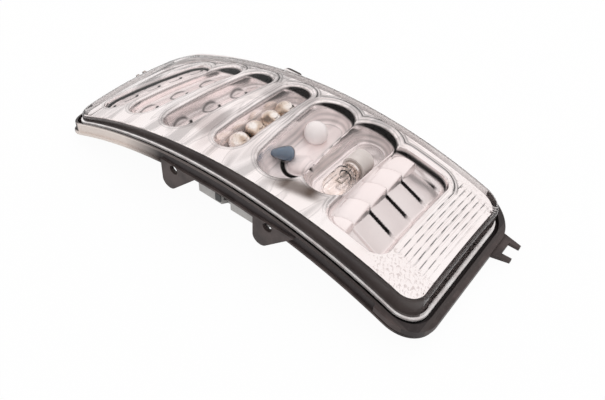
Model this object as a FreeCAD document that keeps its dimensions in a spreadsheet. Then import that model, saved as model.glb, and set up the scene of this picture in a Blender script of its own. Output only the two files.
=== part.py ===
import FreeCAD, Part
import os
import re
import Sketcher
from FreeCAD import Placement, Rotation, Vector

# Bowed car indicator lamp that lies on its back, lens up: X along the lamp, Y from the near to the far
# long side, Z up. The origin is under the middle of the rim, on the surface that the lamp rests on.
SIZES = [
    ("foot_length", 280, "lens wall outline along X"),
    ("foot_width", 110, "lens wall outline along Y"),
    ("foot_corner", 15, "corner radius of the lens wall outline"),
    ("arch_radius", 345, "radius of the bowed lens foot"),
    ("arch_shift", 2.75, "axis of the bowed foot, to the right of the middle"),
    ("arch_sweep", 62, "angle of every bowed slab"),
    ("tool_height", 90, "height of the plan outlines that trim the bowed slabs"),
    ("tool_reach", 75, "half width of the bowed slabs"),
    ("lens_wall", 2.2, "thickness of the clear cover"),
    ("lens_shift", 12, "lens face axis, to the right of the foot axis"),
    ("lens_rise", 10.3, "lens face axis, above the foot axis"),
    ("crown_radius", 400, "radius of the lens face across its width"),
    ("crown_offset", 10, "crest of the lens face, towards the near side"),
    ("crown_rise", 2.5, "crest of the lens face, above its near edge"),
    ("lens_edge", 2.6, "round edge of the lens face"),
    ("lens_foot_reach", 1.2, "foot flange of the lens, outwards"),
    ("lens_foot_thickness", 1.5, "foot flange of the lens, thickness"),
    ("groove_width", 3.7, "sealing channel, from the lens wall to the rim wall"),
    ("channel_depth", 3.5, "sealing channel floor, below the lens foot"),
    ("channel_floor", 2, "thickness of the channel floor"),
    ("rim_wall", 1.8, "thickness of the rim wall"),
    ("rim_top", 0.3, "rim wall, above the lens foot"),
    ("rim_depth", 7, "rim wall, below the lens foot"),
    ("rim_lip", 1.5, "lip round the foot of the rim wall, outwards"),
    ("rim_lip_thickness", 1.5, "thickness of the lip"),
    ("shelf_reach", 2.6, "shelf round the right end, outwards"),
    ("shelf_side_reach", 2.2, "the shelf along the long sides, outwards"),
    ("shelf_start", 118, "left end of the shelf on the long sides, along X"),
    ("shelf_corner", 22, "corner radius of the shelf"),
    ("shelf_thickness", 2.2, "thickness of the shelf"),
    ("shelf_skirt", 1.5, "thickness of the shelf's outer wall"),
    ("skirt_depth", 3.4, "that wall, below the lens foot"),
    ("upstand_gap", 1, "dark upstand, from the lens wall"),
    ("upstand_wall", 1.6, "thickness of the dark upstand"),
    ("face_gap", 1.6, "bezel face, below the inside of the lens"),
    ("bezel_thickness", 1.6, "thickness of the bezel plate"),
    ("slit", 1.4, "shadow gap between bezel and reflector"),
    ("reflector_wall", 1.5, "wall of the reflector"),
    ("reflector_clearance", 0.5, "reflector plate, from the upstand"),
    ("cup_margin", 1.5, "reflector cup, wider than the bezel opening on each side"),
    ("cup_headroom", 3, "start of a cup's taper, above the bezel face"),
    ("cup_reach", 40, "length of a cup's tapered outline"),
    ("cup_taper", 10, "taper of a cup's wall"),
    ("cup_floor_radius", 600, "radius of the floor that the cups share"),
    ("cup_floor_x", 15, "crest of that floor, along X"),
    ("cup_floor_height", 30, "crest of that floor, height"),
    ("well1_x", -114, "first well from the left"),
    ("well1_y", 3, ""),
    ("well1_length", 72, ""),
    ("well1_width", 22, ""),
    ("well1_slant", 14, "lean of its far end to the right"),
    ("well2_x", -86, "second well"),
    ("well2_y", 5, ""),
    ("well2_length", 88, ""),
    ("well2_width", 25, ""),
    ("well2_slant", 14, ""),
    ("well3_x", -53, "third well"),
    ("well3_y", 4, ""),
    ("well3_length", 90, ""),
    ("well3_width", 25, ""),
    ("well3_slant", 7, ""),
    ("well4_x", -14, "fourth well"),
    ("well4_y", 4, ""),
    ("well4_length", 86, ""),
    ("well4_width", 23, ""),
    ("well4_slant", 0, ""),
    ("well5_x", 22, "fifth well"),
    ("well5_y", 3, ""),
    ("well5_length", 88, ""),
    ("well5_width", 29, ""),
    ("well5_slant", -5, ""),
    ("well6_x", 55, "sixth well"),
    ("well6_y", 8, ""),
    ("well6_length", 80, ""),
    ("well6_width", 28, ""),
    ("well6_slant", 0, ""),
    ("bowl_x", 90, "stepped bowl"),
    ("bowl_y", 4, ""),
    ("bowl_length", 70, ""),
    ("bowl_width", 36, ""),
    ("bowl_corner", 9, ""),
    ("bowl_tilt", 15, "slope of its steps along the bow"),
    ("step_count", 4, "steps across the bowl"),
    ("step_rise", 5, "height of a step"),
    ("flute_radius", 1.3, "ridges of the fluted strip"),
    ("flute_pitch", 0.55, "angle from one flute to the next, at the lens axis"),
    ("flute_count", 7, "number of flutes"),
    ("flute_start", 112, "first flute, along X"),
    ("flute_near", -31, "near end of the flutes, along Y"),
    ("flute_far", 45, "far end of the flutes, along Y"),
    ("flute_angle", 18, "sweep of a flute along the crown, before its ends are trimmed"),
    ("tub_top_half", 61, "half width of the tub at the lens foot"),
    ("tub_base_half", 38, "half width of the tub, deeper down"),
    ("tub_depth", 32, "that depth, below the lens foot"),
    ("tub_half_length", 137, "half length of the tub"),
    ("tub_wall", 2, "wall of the tub"),
    ("tub_side_wall", 2.6, "wall of the sloping tub sides, measured level"),
    ("tub_floor_radius", 1200, "radius of the tub floor"),
    ("tub_floor_x", 22, "crest of the tub floor, along X"),
    ("tub_floor_height", 16, "crest of the tub floor, height inside"),
    ("ear1_x", -32, "hole of the left near ear, along X"),
    ("ear2_x", 43, "hole of the right near ear, along X"),
    ("ear_hole_height", 32, "near ear holes, height"),
    ("ear_hole", 6.6, "diameter of the near ear holes"),
    ("ear_thickness", 3, "thickness of the near ears"),
    ("ear_tip_drop", 18.1, "tip of a near ear, below its hole"),
    ("ear_tip_radius", 5.8, "round tip of a near ear"),
    ("ear_tip_shift", 5.2, "middle of the tip, to the left of the hole"),
    ("ear_tail", 19, "right end of a near ear, from its hole"),
    ("ear_tail_rise", 3.5, "right end of a near ear, above its hole"),
    ("tab1_x", -35, "left far tab, along X"),
    ("tab2_x", 24, "right far tab, along X"),
    ("tab_width", 15, "far tabs, along X"),
    ("tab_reach", 3.6, "far tabs, beyond the rim wall"),
    ("tab_height", 38, "underside of the far tabs"),
    ("tab_thickness", 2.5, "thickness of all flat tabs"),
    ("end_tab_y", 24, "left end tab, along Y"),
    ("end_tab_width", 14, "left end tab, along Y"),
    ("end_tab_reach", 14, "left end tab, beyond the rim wall"),
    ("end_slot", 4, "slot in the left end tab"),
    ("fork_y", 38, "fork at the right end, along Y"),
    ("fork_height", 5.2, "underside of the fork"),
    ("fork_width", 24, "fork, along Y"),
    ("fork_reach", 14, "fork, beyond the rim wall"),
    ("fork_slot", 11, "open slot of the fork"),
    ("fork_slot_depth", 7, "depth of that slot"),
    ("seat_x", 37.5, "carrier seat under the tub"),
    ("seat_y", 3, ""),
    ("opening_length", 65, "opening inside the carrier seat, along X"),
    ("opening_width", 50, "opening inside the carrier seat, along Y"),
    ("seat_land", 6, "width of the seat round the opening"),
    ("seat_corner", 6, "corner radius of the opening"),
    ("seat_height", 12.5, "underside of the seat"),
    ("gasket_thickness", 1, "gasket under the seat"),
    ("carrier_x", 31, "middle of the carrier plate"),
    ("carrier_y", -3, ""),
    ("carrier_length", 102, "carrier plate, along X"),
    ("carrier_width", 76, "carrier plate, along Y"),
    ("carrier_corner", 5, "corner radius of the carrier plate"),
    ("carrier_thickness", 2, "thickness of the carrier plate"),
    ("lug_left", -19, "left end of the first lug, along X"),
    ("lug_gap_left", 0, "gap between the lugs, left side"),
    ("lug_gap_right", 7.5, "gap between the lugs, right side"),
    ("lug_right", 33, "right end of the second lug, along X"),
    ("lug_wall_y", -52, "inner face of the lugs"),
    ("lug_thickness", 2, "thickness of the lugs"),
    ("lug_bend", 17, "height of the bend in the lugs"),
    ("lug_top", 24, "top of the lugs"),
    ("clip_length", 4.3, "clip on the first lug, along X"),
    ("clip_wall", 0.9, "wall of the clip"),
    ("clip_height", 5, "clip, from the top of the lug down"),
    ("clip_clearance", 0.05, "clip, from the lug"),
    ("indicator_x", 18, "indicator bulb"),
    ("indicator_y", 18, ""),
    ("sidelight_x", 17, "sidelight bulb"),
    ("sidelight_y", -12, ""),
    ("running_y", 14, "stem of the lying bulb's holder, on the sixth well's line"),
    ("socket_wall", 2.2, "wall of the carrier's sockets"),
    ("socket_clearance", 0.15, "a bulb in its socket, all round"),
    ("socket_gap", 0.6, "top of the sockets, below the cups"),
    ("bulb_hole_margin", 1, "holes in the cup floors, round what passes"),
    ("indicator_cap", 15, "diameter of the indicator bulb's cap"),
    ("indicator_cap_top", 31, "top of the indicator bulb's cap"),
    ("indicator_glass", 16, "diameter of the indicator bulb"),
    ("indicator_neck", 11, "neck of the indicator bulb"),
    ("indicator_neck_length", 3, "length of that neck"),
    ("sidelight_base", 9, "diameter of the sidelight bulb's base"),
    ("sidelight_base_top", 31, "top of the sidelight bulb's base"),
    ("sidelight_glass", 11, "diameter of the sidelight bulb"),
    ("sidelight_glass_length", 15, "length of the sidelight bulb's glass"),
    ("running_height", 37, "axis of the lying bulb"),
    ("running_stem", 10, "stem of its holder"),
    ("running_barrel", 16, "barrel of its holder"),
    ("running_barrel_length", 12, "length of that barrel"),
    ("running_barrel_floor", 2, "closed end of that barrel"),
    ("running_base", 12.5, "base of the lying bulb"),
    ("running_base_length", 13, "length of that base"),
    ("running_glass", 15, "diameter of the lying bulb"),
    ("running_glass_length", 25, "length of the lying bulb's glass"),
    ("running_neck", 9, "neck of the lying bulb"),
    ("running_neck_length", 5, "length of that neck"),
    ("running_glass_wall", 0.8, "wall of the lying bulb"),
    ("wire_thickness", 0.7, "support wires in the lying bulb"),
    ("wire_spread", 4, "distance between them"),
    ("wire_length", 12, "length of the wires"),
    ("coil_thickness", 1, "filament coil"),
    ("board_width", 13, "marker board, along X"),
    ("board_length", 66, "marker board, along Y"),
    ("board_thickness", 1.6, "thickness of the marker board"),
    ("board_y", 7, "middle of the marker board"),
    ("dome_count", 4, "domes on the marker board"),
    ("dome_diameter", 11, "diameter of a dome"),
    ("dome_skirt", 2.5, "straight foot of a dome"),
    ("board_screw_inset", 3, "board screws, from the board's ends"),
    ("board_screw_shank", 1.6, "diameter of a board screw"),
    ("board_screw_head", 3.4, "head of a board screw"),
    ("board_screw_head_height", 1.2, "height of that head"),
    ("board_screw_length", 2.4, "board screw, below its head"),
    ("post_left_x", -31, "left reflector posts, along X"),
    ("post_left_y", 30, "left reflector posts, from the middle"),
    ("post_right_x", 112, "right reflector posts, along X"),
    ("post_right_y", 25, "right reflector posts, from the middle"),
    ("post_diameter", 7, "diameter of a reflector post"),
    ("screw_shank", 3, "diameter of the case screws"),
    ("screw_clearance", 0.15, "screw in its bore, all round"),
    ("screw_head", 6.5, "diameter of a screw head"),
    ("screw_head_height", 2, "height of a screw head"),
    ("screw_length", 12, "screw, below its head"),
    ("boss_diameter", 8, "bosses for the carrier screws"),
    ("boss_top", 24, "top of those bosses"),
    ("boss_left_x", -13, "left carrier screw, along X"),
    ("boss_right_x", 77.5, "right carrier screws, along X"),
    ("boss_far_y", 31, "far carrier screws, along Y"),
    ("boss_near_y", -34, "near carrier screw, along Y"),
    ("carrier_screw_length", 8, "carrier screw, below its head"),
    ("connector_right", 82, "mouth of the connector, along X"),
    ("connector_y", -13, "middle of the connector, along Y"),
    ("connector_length", 20, "connector, along X"),
    ("connector_width", 22, "connector, along Y"),
    ("connector_height", 8.3, "connector, below the carrier plate"),
    ("connector_wall", 1.3, "wall of the connector"),
    ("pin_count", 3, "pins in the connector"),
    ("pin_pitch", 6, "distance between pins"),
    ("pin_width", 1.5, "width of a pin"),
    ("pin_thickness", 0.8, "thickness of a pin"),
    ("pin_length", 9, "length of a pin, inside the connector"),
    ("strip_width", 4, "contact strips, width"),
    ("strip_thickness", 0.5, "contact strips, thickness"),
    ("strip_turn_x", 44, "turn of the indicator bulb's strip, along X"),
    ("vent_x", -70, "vent cap, along X"),
    ("vent_cap", 14, "diameter of the vent cap"),
    ("vent_cap_height", 4.5, "height of the vent cap"),
    ("vent_stem", 6, "stem of the vent cap"),
    ("vent_stem_length", 4, "length of that stem"),
]

doc = FreeCAD.newDocument("indicator_lamp")
sizes = doc.addObject("Spreadsheet::Sheet", "Sizes")
for row, (name, number, meaning) in enumerate(SIZES, 1):
    sizes.set(f"A{row}", meaning)
    sizes.set(f"B{row}", str(number))
    sizes.setAlias(f"B{row}", name)
doc.recompute()
SIZE_NAMES = re.compile(r"\b(" + "|".join(name for name, number, meaning in SIZES) + r")\b")

# Axis of the bowed foot: it lies across the lamp, and sets the left end of the rim on the resting surface.
RIM_IN = "groove_width"
RIM_OUT = "groove_width + rim_wall"
ARCH_X = "arch_shift"
RIM_SPAN = f"(foot_length/2 + {RIM_OUT} + rim_lip + arch_shift)"
ARCH_Z = f"(-sqrt((arch_radius - rim_depth)^2 - {RIM_SPAN}^2))"
LENS_X = f"({ARCH_X} + lens_shift)"
LENS_Z = f"({ARCH_Z} + lens_rise)"
TUB_Z = "(tub_floor_height - tub_floor_radius)"
CUP_Z = "(cup_floor_height - cup_floor_radius)"
BEZEL_DROP = "(lens_wall + face_gap)"
UPSTAND_DROP = f"({BEZEL_DROP} + bezel_thickness)"
PLATE_DROP = f"({UPSTAND_DROP} + slit)"
CARRIER_TOP = "(seat_height - gasket_thickness)"
CARRIER_BOTTOM = f"({CARRIER_TOP} - carrier_thickness)"


def formula(text):
    """The text with every size named as a cell of the sheet."""
    return SIZE_NAMES.sub(r"Sizes.\1", text)


def value(text):
    """The number that a formula gives now."""
    return float(sizes.evalExpression(formula(text)))


def bind(thing, field, text):
    """Tie one property to a formula."""
    thing.setExpression(field, formula(text))


def place(thing, x="0", y="0", z="0", turn=None, axis=Vector(0, 0, 1)):
    """Tie the place of an object, and a turn about one axis, to formulas."""
    angle = 0 if turn is None else value(turn)
    thing.Placement = Placement(Vector(value(x), value(y), value(z)), Rotation(axis, angle))
    for field, text in (("x", x), ("y", y), ("z", z)):
        bind(thing, f"Placement.Base.{field}", text)
    if turn is not None:
        bind(thing, "Placement.Rotation.Angle", turn)
    return thing


def new_sketch(body, role):
    """A sketch on one of the body's own origin planes."""
    sketch = body.newObject("Sketcher::SketchObject", body.Name + "_sketch")
    plane = [feature for feature in body.Origin.OriginFeatures if feature.Role == role][0]
    sketch.AttachmentSupport = [(plane, "")]
    sketch.MapMode = "FlatFace"
    return sketch


def pin_point(sketch, edge, point, x, y):
    """Hold a point of an edge at two formulas from the sketch origin."""
    for kind, text in (("DistanceX", x), ("DistanceY", y)):
        index = sketch.addConstraint(Sketcher.Constraint(kind, -1, 1, edge, point, value(text)))
        bind(sketch, f"Constraints[{index}]", text)


def set_radius(sketch, edge, text):
    """Tie the radius of an arc or circle to a formula."""
    index = sketch.addConstraint(Sketcher.Constraint("Radius", edge, value(text)))
    bind(sketch, f"Constraints[{index}]", text)


def join(sketch, kind, first, second):
    """Join the end of one edge to the start of the next, tangent or not."""
    sketch.addConstraint(Sketcher.Constraint(kind, first, 2, second, 1))


def polygon(sketch, corners):
    """Closed outline of straight edges, with every corner held by two formulas."""
    start = sketch.GeometryCount
    points = [Vector(value(x), value(y), 0) for x, y in corners]
    for here, there in zip(points, points[1:] + points[:1]):
        sketch.addGeometry(Part.LineSegment(here, there))
    for index, (x, y) in enumerate(corners):
        join(sketch, "Coincident", start + index, start + (index + 1) % len(corners))
        pin_point(sketch, start + index, 1, x, y)


def round_outline(sketch, centres, radius):
    """Closed outline of equal arcs about the given centres, counter-clockwise, with lines between them."""
    start = sketch.GeometryCount
    count = len(centres)
    size = value(radius)
    points = [Vector(value(x), value(y), 0) for x, y in centres]
    normals = []
    for here, there in zip(points, points[1:] + points[:1]):
        along = (there - here).normalize()
        normals.append(Vector(along.y, -along.x, 0))
    for index, centre in enumerate(points):
        before = normals[index - 1]
        after = normals[index]
        bulge = before + after
        if bulge.Length < 1e-6:
            bulge = Vector(-before.y, before.x, 0)
        bulge.normalize()
        arc = Part.Arc(centre + before * size, centre + bulge * size, centre + after * size)
        sketch.addGeometry(arc)
        next_centre = points[(index + 1) % count]
        sketch.addGeometry(Part.LineSegment(centre + after * size, next_centre + after * size))
    for index, (x, y) in enumerate(centres):
        arc = start + 2 * index
        pin_point(sketch, arc, 3, x, y)
        join(sketch, "Tangent", arc, arc + 1)
        join(sketch, "Tangent", arc + 1, start + (2 * index + 2) % (2 * count))
        if index == 0:
            set_radius(sketch, arc, radius)
        else:
            sketch.addConstraint(Sketcher.Constraint("Equal", start, arc))


def round_rectangle(sketch, length, width, corner):
    """Rectangle about the origin with round corners."""
    x = f"(({length})/2 - ({corner}))"
    y = f"(({width})/2 - ({corner}))"
    round_outline(sketch, [(f"-{x}", f"-{y}"), (x, f"-{y}"), (x, y), (f"-{x}", y)], corner)


def obround(sketch, length, width):
    """Slot outline about the origin, along the sketch's Y."""
    reach = f"(({length}) - ({width}))/2"
    round_outline(sketch, [("0", f"-{reach}"), ("0", reach)], f"({width})/2")


def circle(sketch, x, y, diameter):
    """Circle held at two formulas."""
    edge = sketch.GeometryCount
    centre = Vector(value(x), value(y), 0)
    sketch.addGeometry(Part.Circle(centre, Vector(0, 0, 1), value(diameter) / 2))
    pin_point(sketch, edge, 3, x, y)
    set_radius(sketch, edge, f"({diameter})/2")


def pad(body, sketch, length, both_ways=False, down=False, taper=None):
    """Extrude a sketch along its normal."""
    block = body.newObject("PartDesign::Pad", body.Name + "_pad")
    block.Profile = sketch
    if both_ways:
        block.SideType = "Symmetric"
    block.Reversed = down
    bind(block, "Length", length)
    if taper is not None:
        bind(block, "TaperAngle", taper)
    return block


def spin(body, sketch, axis="V_Axis", angle=None):
    """Turn a sketch about one of its axes, all the way or by an angle to both sides."""
    turned = body.newObject("PartDesign::Revolution", body.Name + "_turn")
    turned.Profile = sketch
    turned.ReferenceAxis = (sketch, [axis])
    if angle is None:
        turned.Angle = 360
    else:
        turned.Midplane = True
        bind(turned, "Angle", angle)
    return turned


def new_body(label):
    """An empty body."""
    body = doc.addObject("PartDesign::Body", label)
    body.Label = label
    return body


def plan(label, *outlines):
    """Upright block with a plan outline; each outline is a length, width and corner, the second a hole."""
    body = new_body(label)
    sketch = new_sketch(body, "XY_Plane")
    for length, width, corner in outlines:
        round_rectangle(sketch, length, width, corner)
    pad(body, sketch, "tool_height", both_ways=False)
    return place(body, z="-tool_height/4")


def lens_outline(offset):
    """Length, width and corner of the lens wall outline, moved outwards by a formula."""
    return (f"foot_length + 2*({offset})", f"foot_width + 2*({offset})", f"foot_corner + ({offset})")


def band(label, inner, outer, axis_x=ARCH_X, axis_z=ARCH_Z):
    """Bowed slab between two radii about an axis that lies across the lamp."""
    body = new_body(label)
    sketch = new_sketch(body, "YZ_Plane")
    near = "-tool_reach"
    far = "tool_reach"
    polygon(sketch, [(near, inner), (far, inner), (far, outer), (near, outer)])
    spin(body, sketch, "H_Axis", "arch_sweep")
    return place(body, axis_x, "0", axis_z)


def crown(label, drop):
    """Solid under the lens face, lowered by a formula: a crowned section swept round the lens axis."""
    body = new_body(label)
    sketch = new_sketch(body, "YZ_Plane")
    radius = f"(crown_radius - ({drop}))"
    centre_y = "(arch_radius + crown_rise - crown_radius)"
    floor = "arch_radius - tool_height/2"
    reach = value("tool_reach")
    size = value(radius)
    middle = Vector(-value("crown_offset"), value(centre_y), 0)

    def top(y):
        """Point of the crown at a distance from the middle."""
        return Vector(y, middle.y + (size**2 - (y - middle.x) ** 2) ** 0.5, 0)

    low = value(floor)
    sketch.addGeometry(Part.Arc(top(reach), top(middle.x), top(-reach)))
    sketch.addGeometry(Part.LineSegment(top(-reach), Vector(-reach, low, 0)))
    sketch.addGeometry(Part.LineSegment(Vector(-reach, low, 0), Vector(reach, low, 0)))
    sketch.addGeometry(Part.LineSegment(Vector(reach, low, 0), top(reach)))
    for edge in range(4):
        join(sketch, "Coincident", edge, (edge + 1) % 4)
    pin_point(sketch, 0, 3, "-crown_offset", centre_y)
    set_radius(sketch, 0, radius)
    pin_point(sketch, 2, 1, "-tool_reach", floor)
    pin_point(sketch, 3, 1, "tool_reach", floor)
    sketch.addConstraint(Sketcher.Constraint("Vertical", 1))
    sketch.addConstraint(Sketcher.Constraint("Vertical", 3))
    spin(body, sketch, "H_Axis", "arch_sweep")
    return place(body, LENS_X, "0", LENS_Z)


def face_height(x, drop):
    """Height of the lens face, lowered by a formula, at a place along the lamp."""
    return f"({LENS_Z} + sqrt((arch_radius + crown_rise - {drop})^2 - (({x}) - {LENS_X})^2))"


def tub_height(x, wall="0"):
    """Height of the tub floor at a place along the lamp, lowered by a formula."""
    return f"({TUB_Z} + sqrt((tub_floor_radius - {wall})^2 - (({x}) - tub_floor_x)^2))"


def cup_height(x):
    """Height of the cup floor at a place along the lamp."""
    return f"({CUP_Z} + sqrt(cup_floor_radius^2 - (({x}) - cup_floor_x)^2))"


def box(label, x, y, z, length, width, height):
    """Upright block from its lowest corner."""
    block = doc.addObject("Part::Box", label)
    for field, text in (("Length", length), ("Width", width), ("Height", height)):
        bind(block, field, text)
    return place(block, x, y, z)


def rod(label, x, y, z, diameter, height, turn=None, axis=Vector(1, 0, 0)):
    """Round rod from the middle of its first face."""
    bar = doc.addObject("Part::Cylinder", label)
    bind(bar, "Radius", f"({diameter})/2")
    bind(bar, "Height", height)
    return place(bar, x, y, z, turn, axis)


def fuse(label, *pieces):
    """All the pieces in one solid."""
    joined = doc.addObject("Part::MultiFuse", label)
    joined.Label = label
    joined.Shapes = list(pieces)
    return joined


def fuse_in_turn(label, first, *pieces):
    """The pieces added to the first one, one after another."""
    joined = first
    for index, piece in enumerate(pieces, 1):
        step = doc.addObject("Part::Fuse", label if index == len(pieces) else f"{label}_{index}")
        step.Base = joined
        step.Tool = piece
        joined = step
    return joined


def common(label, *pieces):
    """What all the pieces share."""
    shared = doc.addObject("Part::MultiCommon", label)
    shared.Label = label
    shared.Shapes = list(pieces)
    return shared


def cut(label, base, tool):
    """The base without the tool."""
    rest = doc.addObject("Part::Cut", label)
    rest.Label = label
    rest.Base = base
    rest.Tool = tool
    return rest


def group(label, pieces):
    """Like pieces that stay separate solids in one node."""
    bundle = doc.addObject("Part::Compound", label)
    bundle.Label = label
    bundle.Links = pieces
    return bundle


def turned(label, profile, x="0", y="0", z="0", turn=None, axis=Vector(1, 0, 0)):
    """Turned piece: corners as radius and height, spun about its own axis."""
    body = new_body(label)
    sketch = new_sketch(body, "XZ_Plane")
    polygon(sketch, profile)
    spin(body, sketch)
    return place(body, x, y, z, turn, axis)


# Housing: one dark moulding with the bowed rim, sealing channel, upstand, shelf, ears, tabs and tub.
lens_in = "-lens_wall"
upstand_out = "(-lens_wall - upstand_gap)"
upstand_in = "(-lens_wall - upstand_gap - upstand_wall)"
below_foot = "arch_radius - rim_depth"
channel_top = "arch_radius - channel_depth"
channel_bottom = "arch_radius - channel_depth - channel_floor"
rim_crest = "arch_radius + rim_top"

rim_wall_part = common(
    "rim_wall_part",
    plan("rim_wall_plan", lens_outline(RIM_OUT), lens_outline(RIM_IN)),
    band("rim_wall_band", below_foot, rim_crest),
)
channel_part = common(
    "channel_part",
    plan("channel_plan", lens_outline(RIM_OUT), lens_outline(upstand_in)),
    band("channel_band", channel_bottom, channel_top),
)
lip_part = common(
    "lip_part",
    plan("lip_plan", lens_outline(f"{RIM_OUT} + rim_lip"), lens_outline(RIM_IN)),
    band("lip_band", below_foot, "arch_radius - rim_depth + rim_lip_thickness"),
)
upstand_block = common(
    "upstand_block",
    plan("upstand_plan", lens_outline(upstand_out), lens_outline(upstand_in)),
    crown("upstand_crown", UPSTAND_DROP),
)
upstand_foot = band("upstand_foot", "arch_radius - tool_height", channel_bottom)
upstand_part = cut("upstand_part", upstand_block, upstand_foot)

shelf_right = f"(foot_length/2 + {RIM_OUT} + shelf_reach)"
shelf_wide = f"(foot_width + 2*({RIM_OUT} + shelf_side_reach))"


def shelf_plan(label, inset):
    """Plan of the shelf round the right end; its left corners lie under the rim wall."""
    body = new_body(label)
    sketch = new_sketch(body, "XY_Plane")
    left = "shelf_start"
    right = f"{shelf_right} - ({inset})"
    side = f"({shelf_wide}/2 - ({inset}))"
    corner = f"(shelf_corner - ({inset}))"
    far = value(side)
    outer = value(right)
    size = value(corner)
    begin = value(left)
    half = size * 0.5**0.5
    sketch.addGeometry(Part.LineSegment(Vector(begin, -far, 0), Vector(outer - size, -far, 0)))
    sketch.addGeometry(
        Part.Arc(
            Vector(outer - size, -far, 0),
            Vector(outer - size + half, -far + size - half, 0),
            Vector(outer, -far + size, 0),
        )
    )
    sketch.addGeometry(Part.LineSegment(Vector(outer, -far + size, 0), Vector(outer, far - size, 0)))
    sketch.addGeometry(
        Part.Arc(
            Vector(outer, far - size, 0),
            Vector(outer - size + half, far - size + half, 0),
            Vector(outer - size, far, 0),
        )
    )
    sketch.addGeometry(Part.LineSegment(Vector(outer - size, far, 0), Vector(begin, far, 0)))
    sketch.addGeometry(Part.LineSegment(Vector(begin, far, 0), Vector(begin, -far, 0)))
    for edge in range(4):
        join(sketch, "Tangent", edge, edge + 1)
    join(sketch, "Coincident", 4, 5)
    join(sketch, "Coincident", 5, 0)
    pin_point(sketch, 1, 3, f"({right}) - {corner}", f"-({side} - {corner})")
    pin_point(sketch, 3, 3, f"({right}) - {corner}", f"{side} - {corner}")
    set_radius(sketch, 1, corner)
    sketch.addConstraint(Sketcher.Constraint("Equal", 1, 3))
    pin_point(sketch, 0, 1, left, f"-{side}")
    pin_point(sketch, 4, 2, left, side)
    pad(body, sketch, "tool_height")
    return place(body, z="-tool_height/4")


rim_hole = plan("rim_hole", lens_outline(RIM_IN))
shelf_top = common(
    "shelf_top",
    cut("shelf_ring", shelf_plan("shelf_outline", "0"), rim_hole),
    band("shelf_band", f"{rim_crest} - shelf_thickness", rim_crest),
)
shelf_wall = common(
    "shelf_wall",
    cut("skirt_ring", shelf_plan("skirt_outline", "0"), shelf_plan("skirt_hole", "shelf_skirt")),
    band("skirt_band", "arch_radius - skirt_depth", rim_crest),
)


def tub(label, wall, roof):
    """Boat-shaped solid of the tub, made smaller by a wall, up to a roof radius."""
    body = new_body(label + "_section")
    sketch = new_sketch(body, "YZ_Plane")
    base = f"(tub_base_half - ({wall})*tub_side_wall/tub_wall)"
    top = f"(tub_top_half - ({wall})*tub_side_wall/tub_wall)"
    low = "arch_radius - tub_depth"
    polygon(sketch, [(f"-{base}", low), (base, low), (top, "arch_radius"), (f"-{top}", "arch_radius")])
    spin(body, sketch, "H_Axis", "arch_sweep")
    place(body, ARCH_X, "0", ARCH_Z)
    floor_inside = f"tub_floor_radius - tub_wall + ({wall})"
    ceiling = "tub_floor_radius + tool_height"
    floor_band = band(label + "_floor", floor_inside, ceiling, "tub_floor_x", TUB_Z)
    roof_band = band(label + "_roof", "arch_radius - tool_height/2", roof)
    ends = plan(label + "_ends", (f"2*(tub_half_length - ({wall}))", "foot_width*2", "foot_corner"))
    return common(label, body, floor_band, roof_band, ends)


tub_outer = tub("tub_outer", "0", f"{channel_bottom} + channel_floor/2")
tub_cavity = tub("tub_cavity", "tub_wall", "arch_radius")
tub_shell = cut("tub_shell", tub_outer, tub_cavity)


def near_ear(label, hole_x):
    """Upright ear under the near rim: straight left edge, round tip, right edge slanting back up."""
    body = new_body(label)
    sketch = new_sketch(body, "XZ_Plane")
    centre_x = f"({hole_x} - ear_tip_shift)"
    centre_z = "(ear_hole_height - ear_tip_drop + ear_tip_radius)"
    tail_x = f"({hole_x} + ear_tail)"
    tail_z = "(ear_hole_height + ear_tail_rise)"
    size = value("ear_tip_radius")
    centre = Vector(value(centre_x), value(centre_z), 0)
    tail = Vector(value(tail_x), value(tail_z), 0)
    reach = tail - centre
    swing = FreeCAD.Vector(reach.y, -reach.x, 0).normalize()
    share = size / reach.Length
    touch = centre + swing * (size * (1 - share**2) ** 0.5) + reach * (size * share / reach.Length)
    left = Vector(centre.x - size, tail.y, 0)
    lowest = Vector(centre.x, centre.y - size, 0)
    sketch.addGeometry(Part.LineSegment(left, Vector(left.x, centre.y, 0)))
    sketch.addGeometry(Part.Arc(Vector(left.x, centre.y, 0), lowest, touch))
    sketch.addGeometry(Part.LineSegment(touch, tail))
    sketch.addGeometry(Part.LineSegment(tail, left))
    join(sketch, "Tangent", 0, 1)
    join(sketch, "Tangent", 1, 2)
    join(sketch, "Coincident", 2, 3)
    join(sketch, "Coincident", 3, 0)
    pin_point(sketch, 1, 3, centre_x, centre_z)
    set_radius(sketch, 1, "ear_tip_radius")
    pin_point(sketch, 2, 2, tail_x, tail_z)
    sketch.addConstraint(Sketcher.Constraint("Vertical", 0))
    sketch.addConstraint(Sketcher.Constraint("Horizontal", 3))
    pad(body, sketch, "ear_thickness")
    return place(body, y=f"-(foot_width/2 + {RIM_OUT} + rim_lip - ear_thickness)")


rim_far = f"(foot_width/2 + {RIM_IN})"


def far_tab(label, x):
    """Flat tongue on the far rim wall, which slips behind the vehicle body."""
    body = new_body(label)
    sketch = new_sketch(body, "XY_Plane")
    length = "(rim_wall + tab_reach)"
    corner = "(tab_width/4)"
    round_rectangle(sketch, "tab_width", f"{length} + {corner}", corner)
    pad(body, sketch, "tab_thickness")
    return place(body, x, f"{rim_far} + ({length} - {corner})/2", "tab_height")


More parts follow.
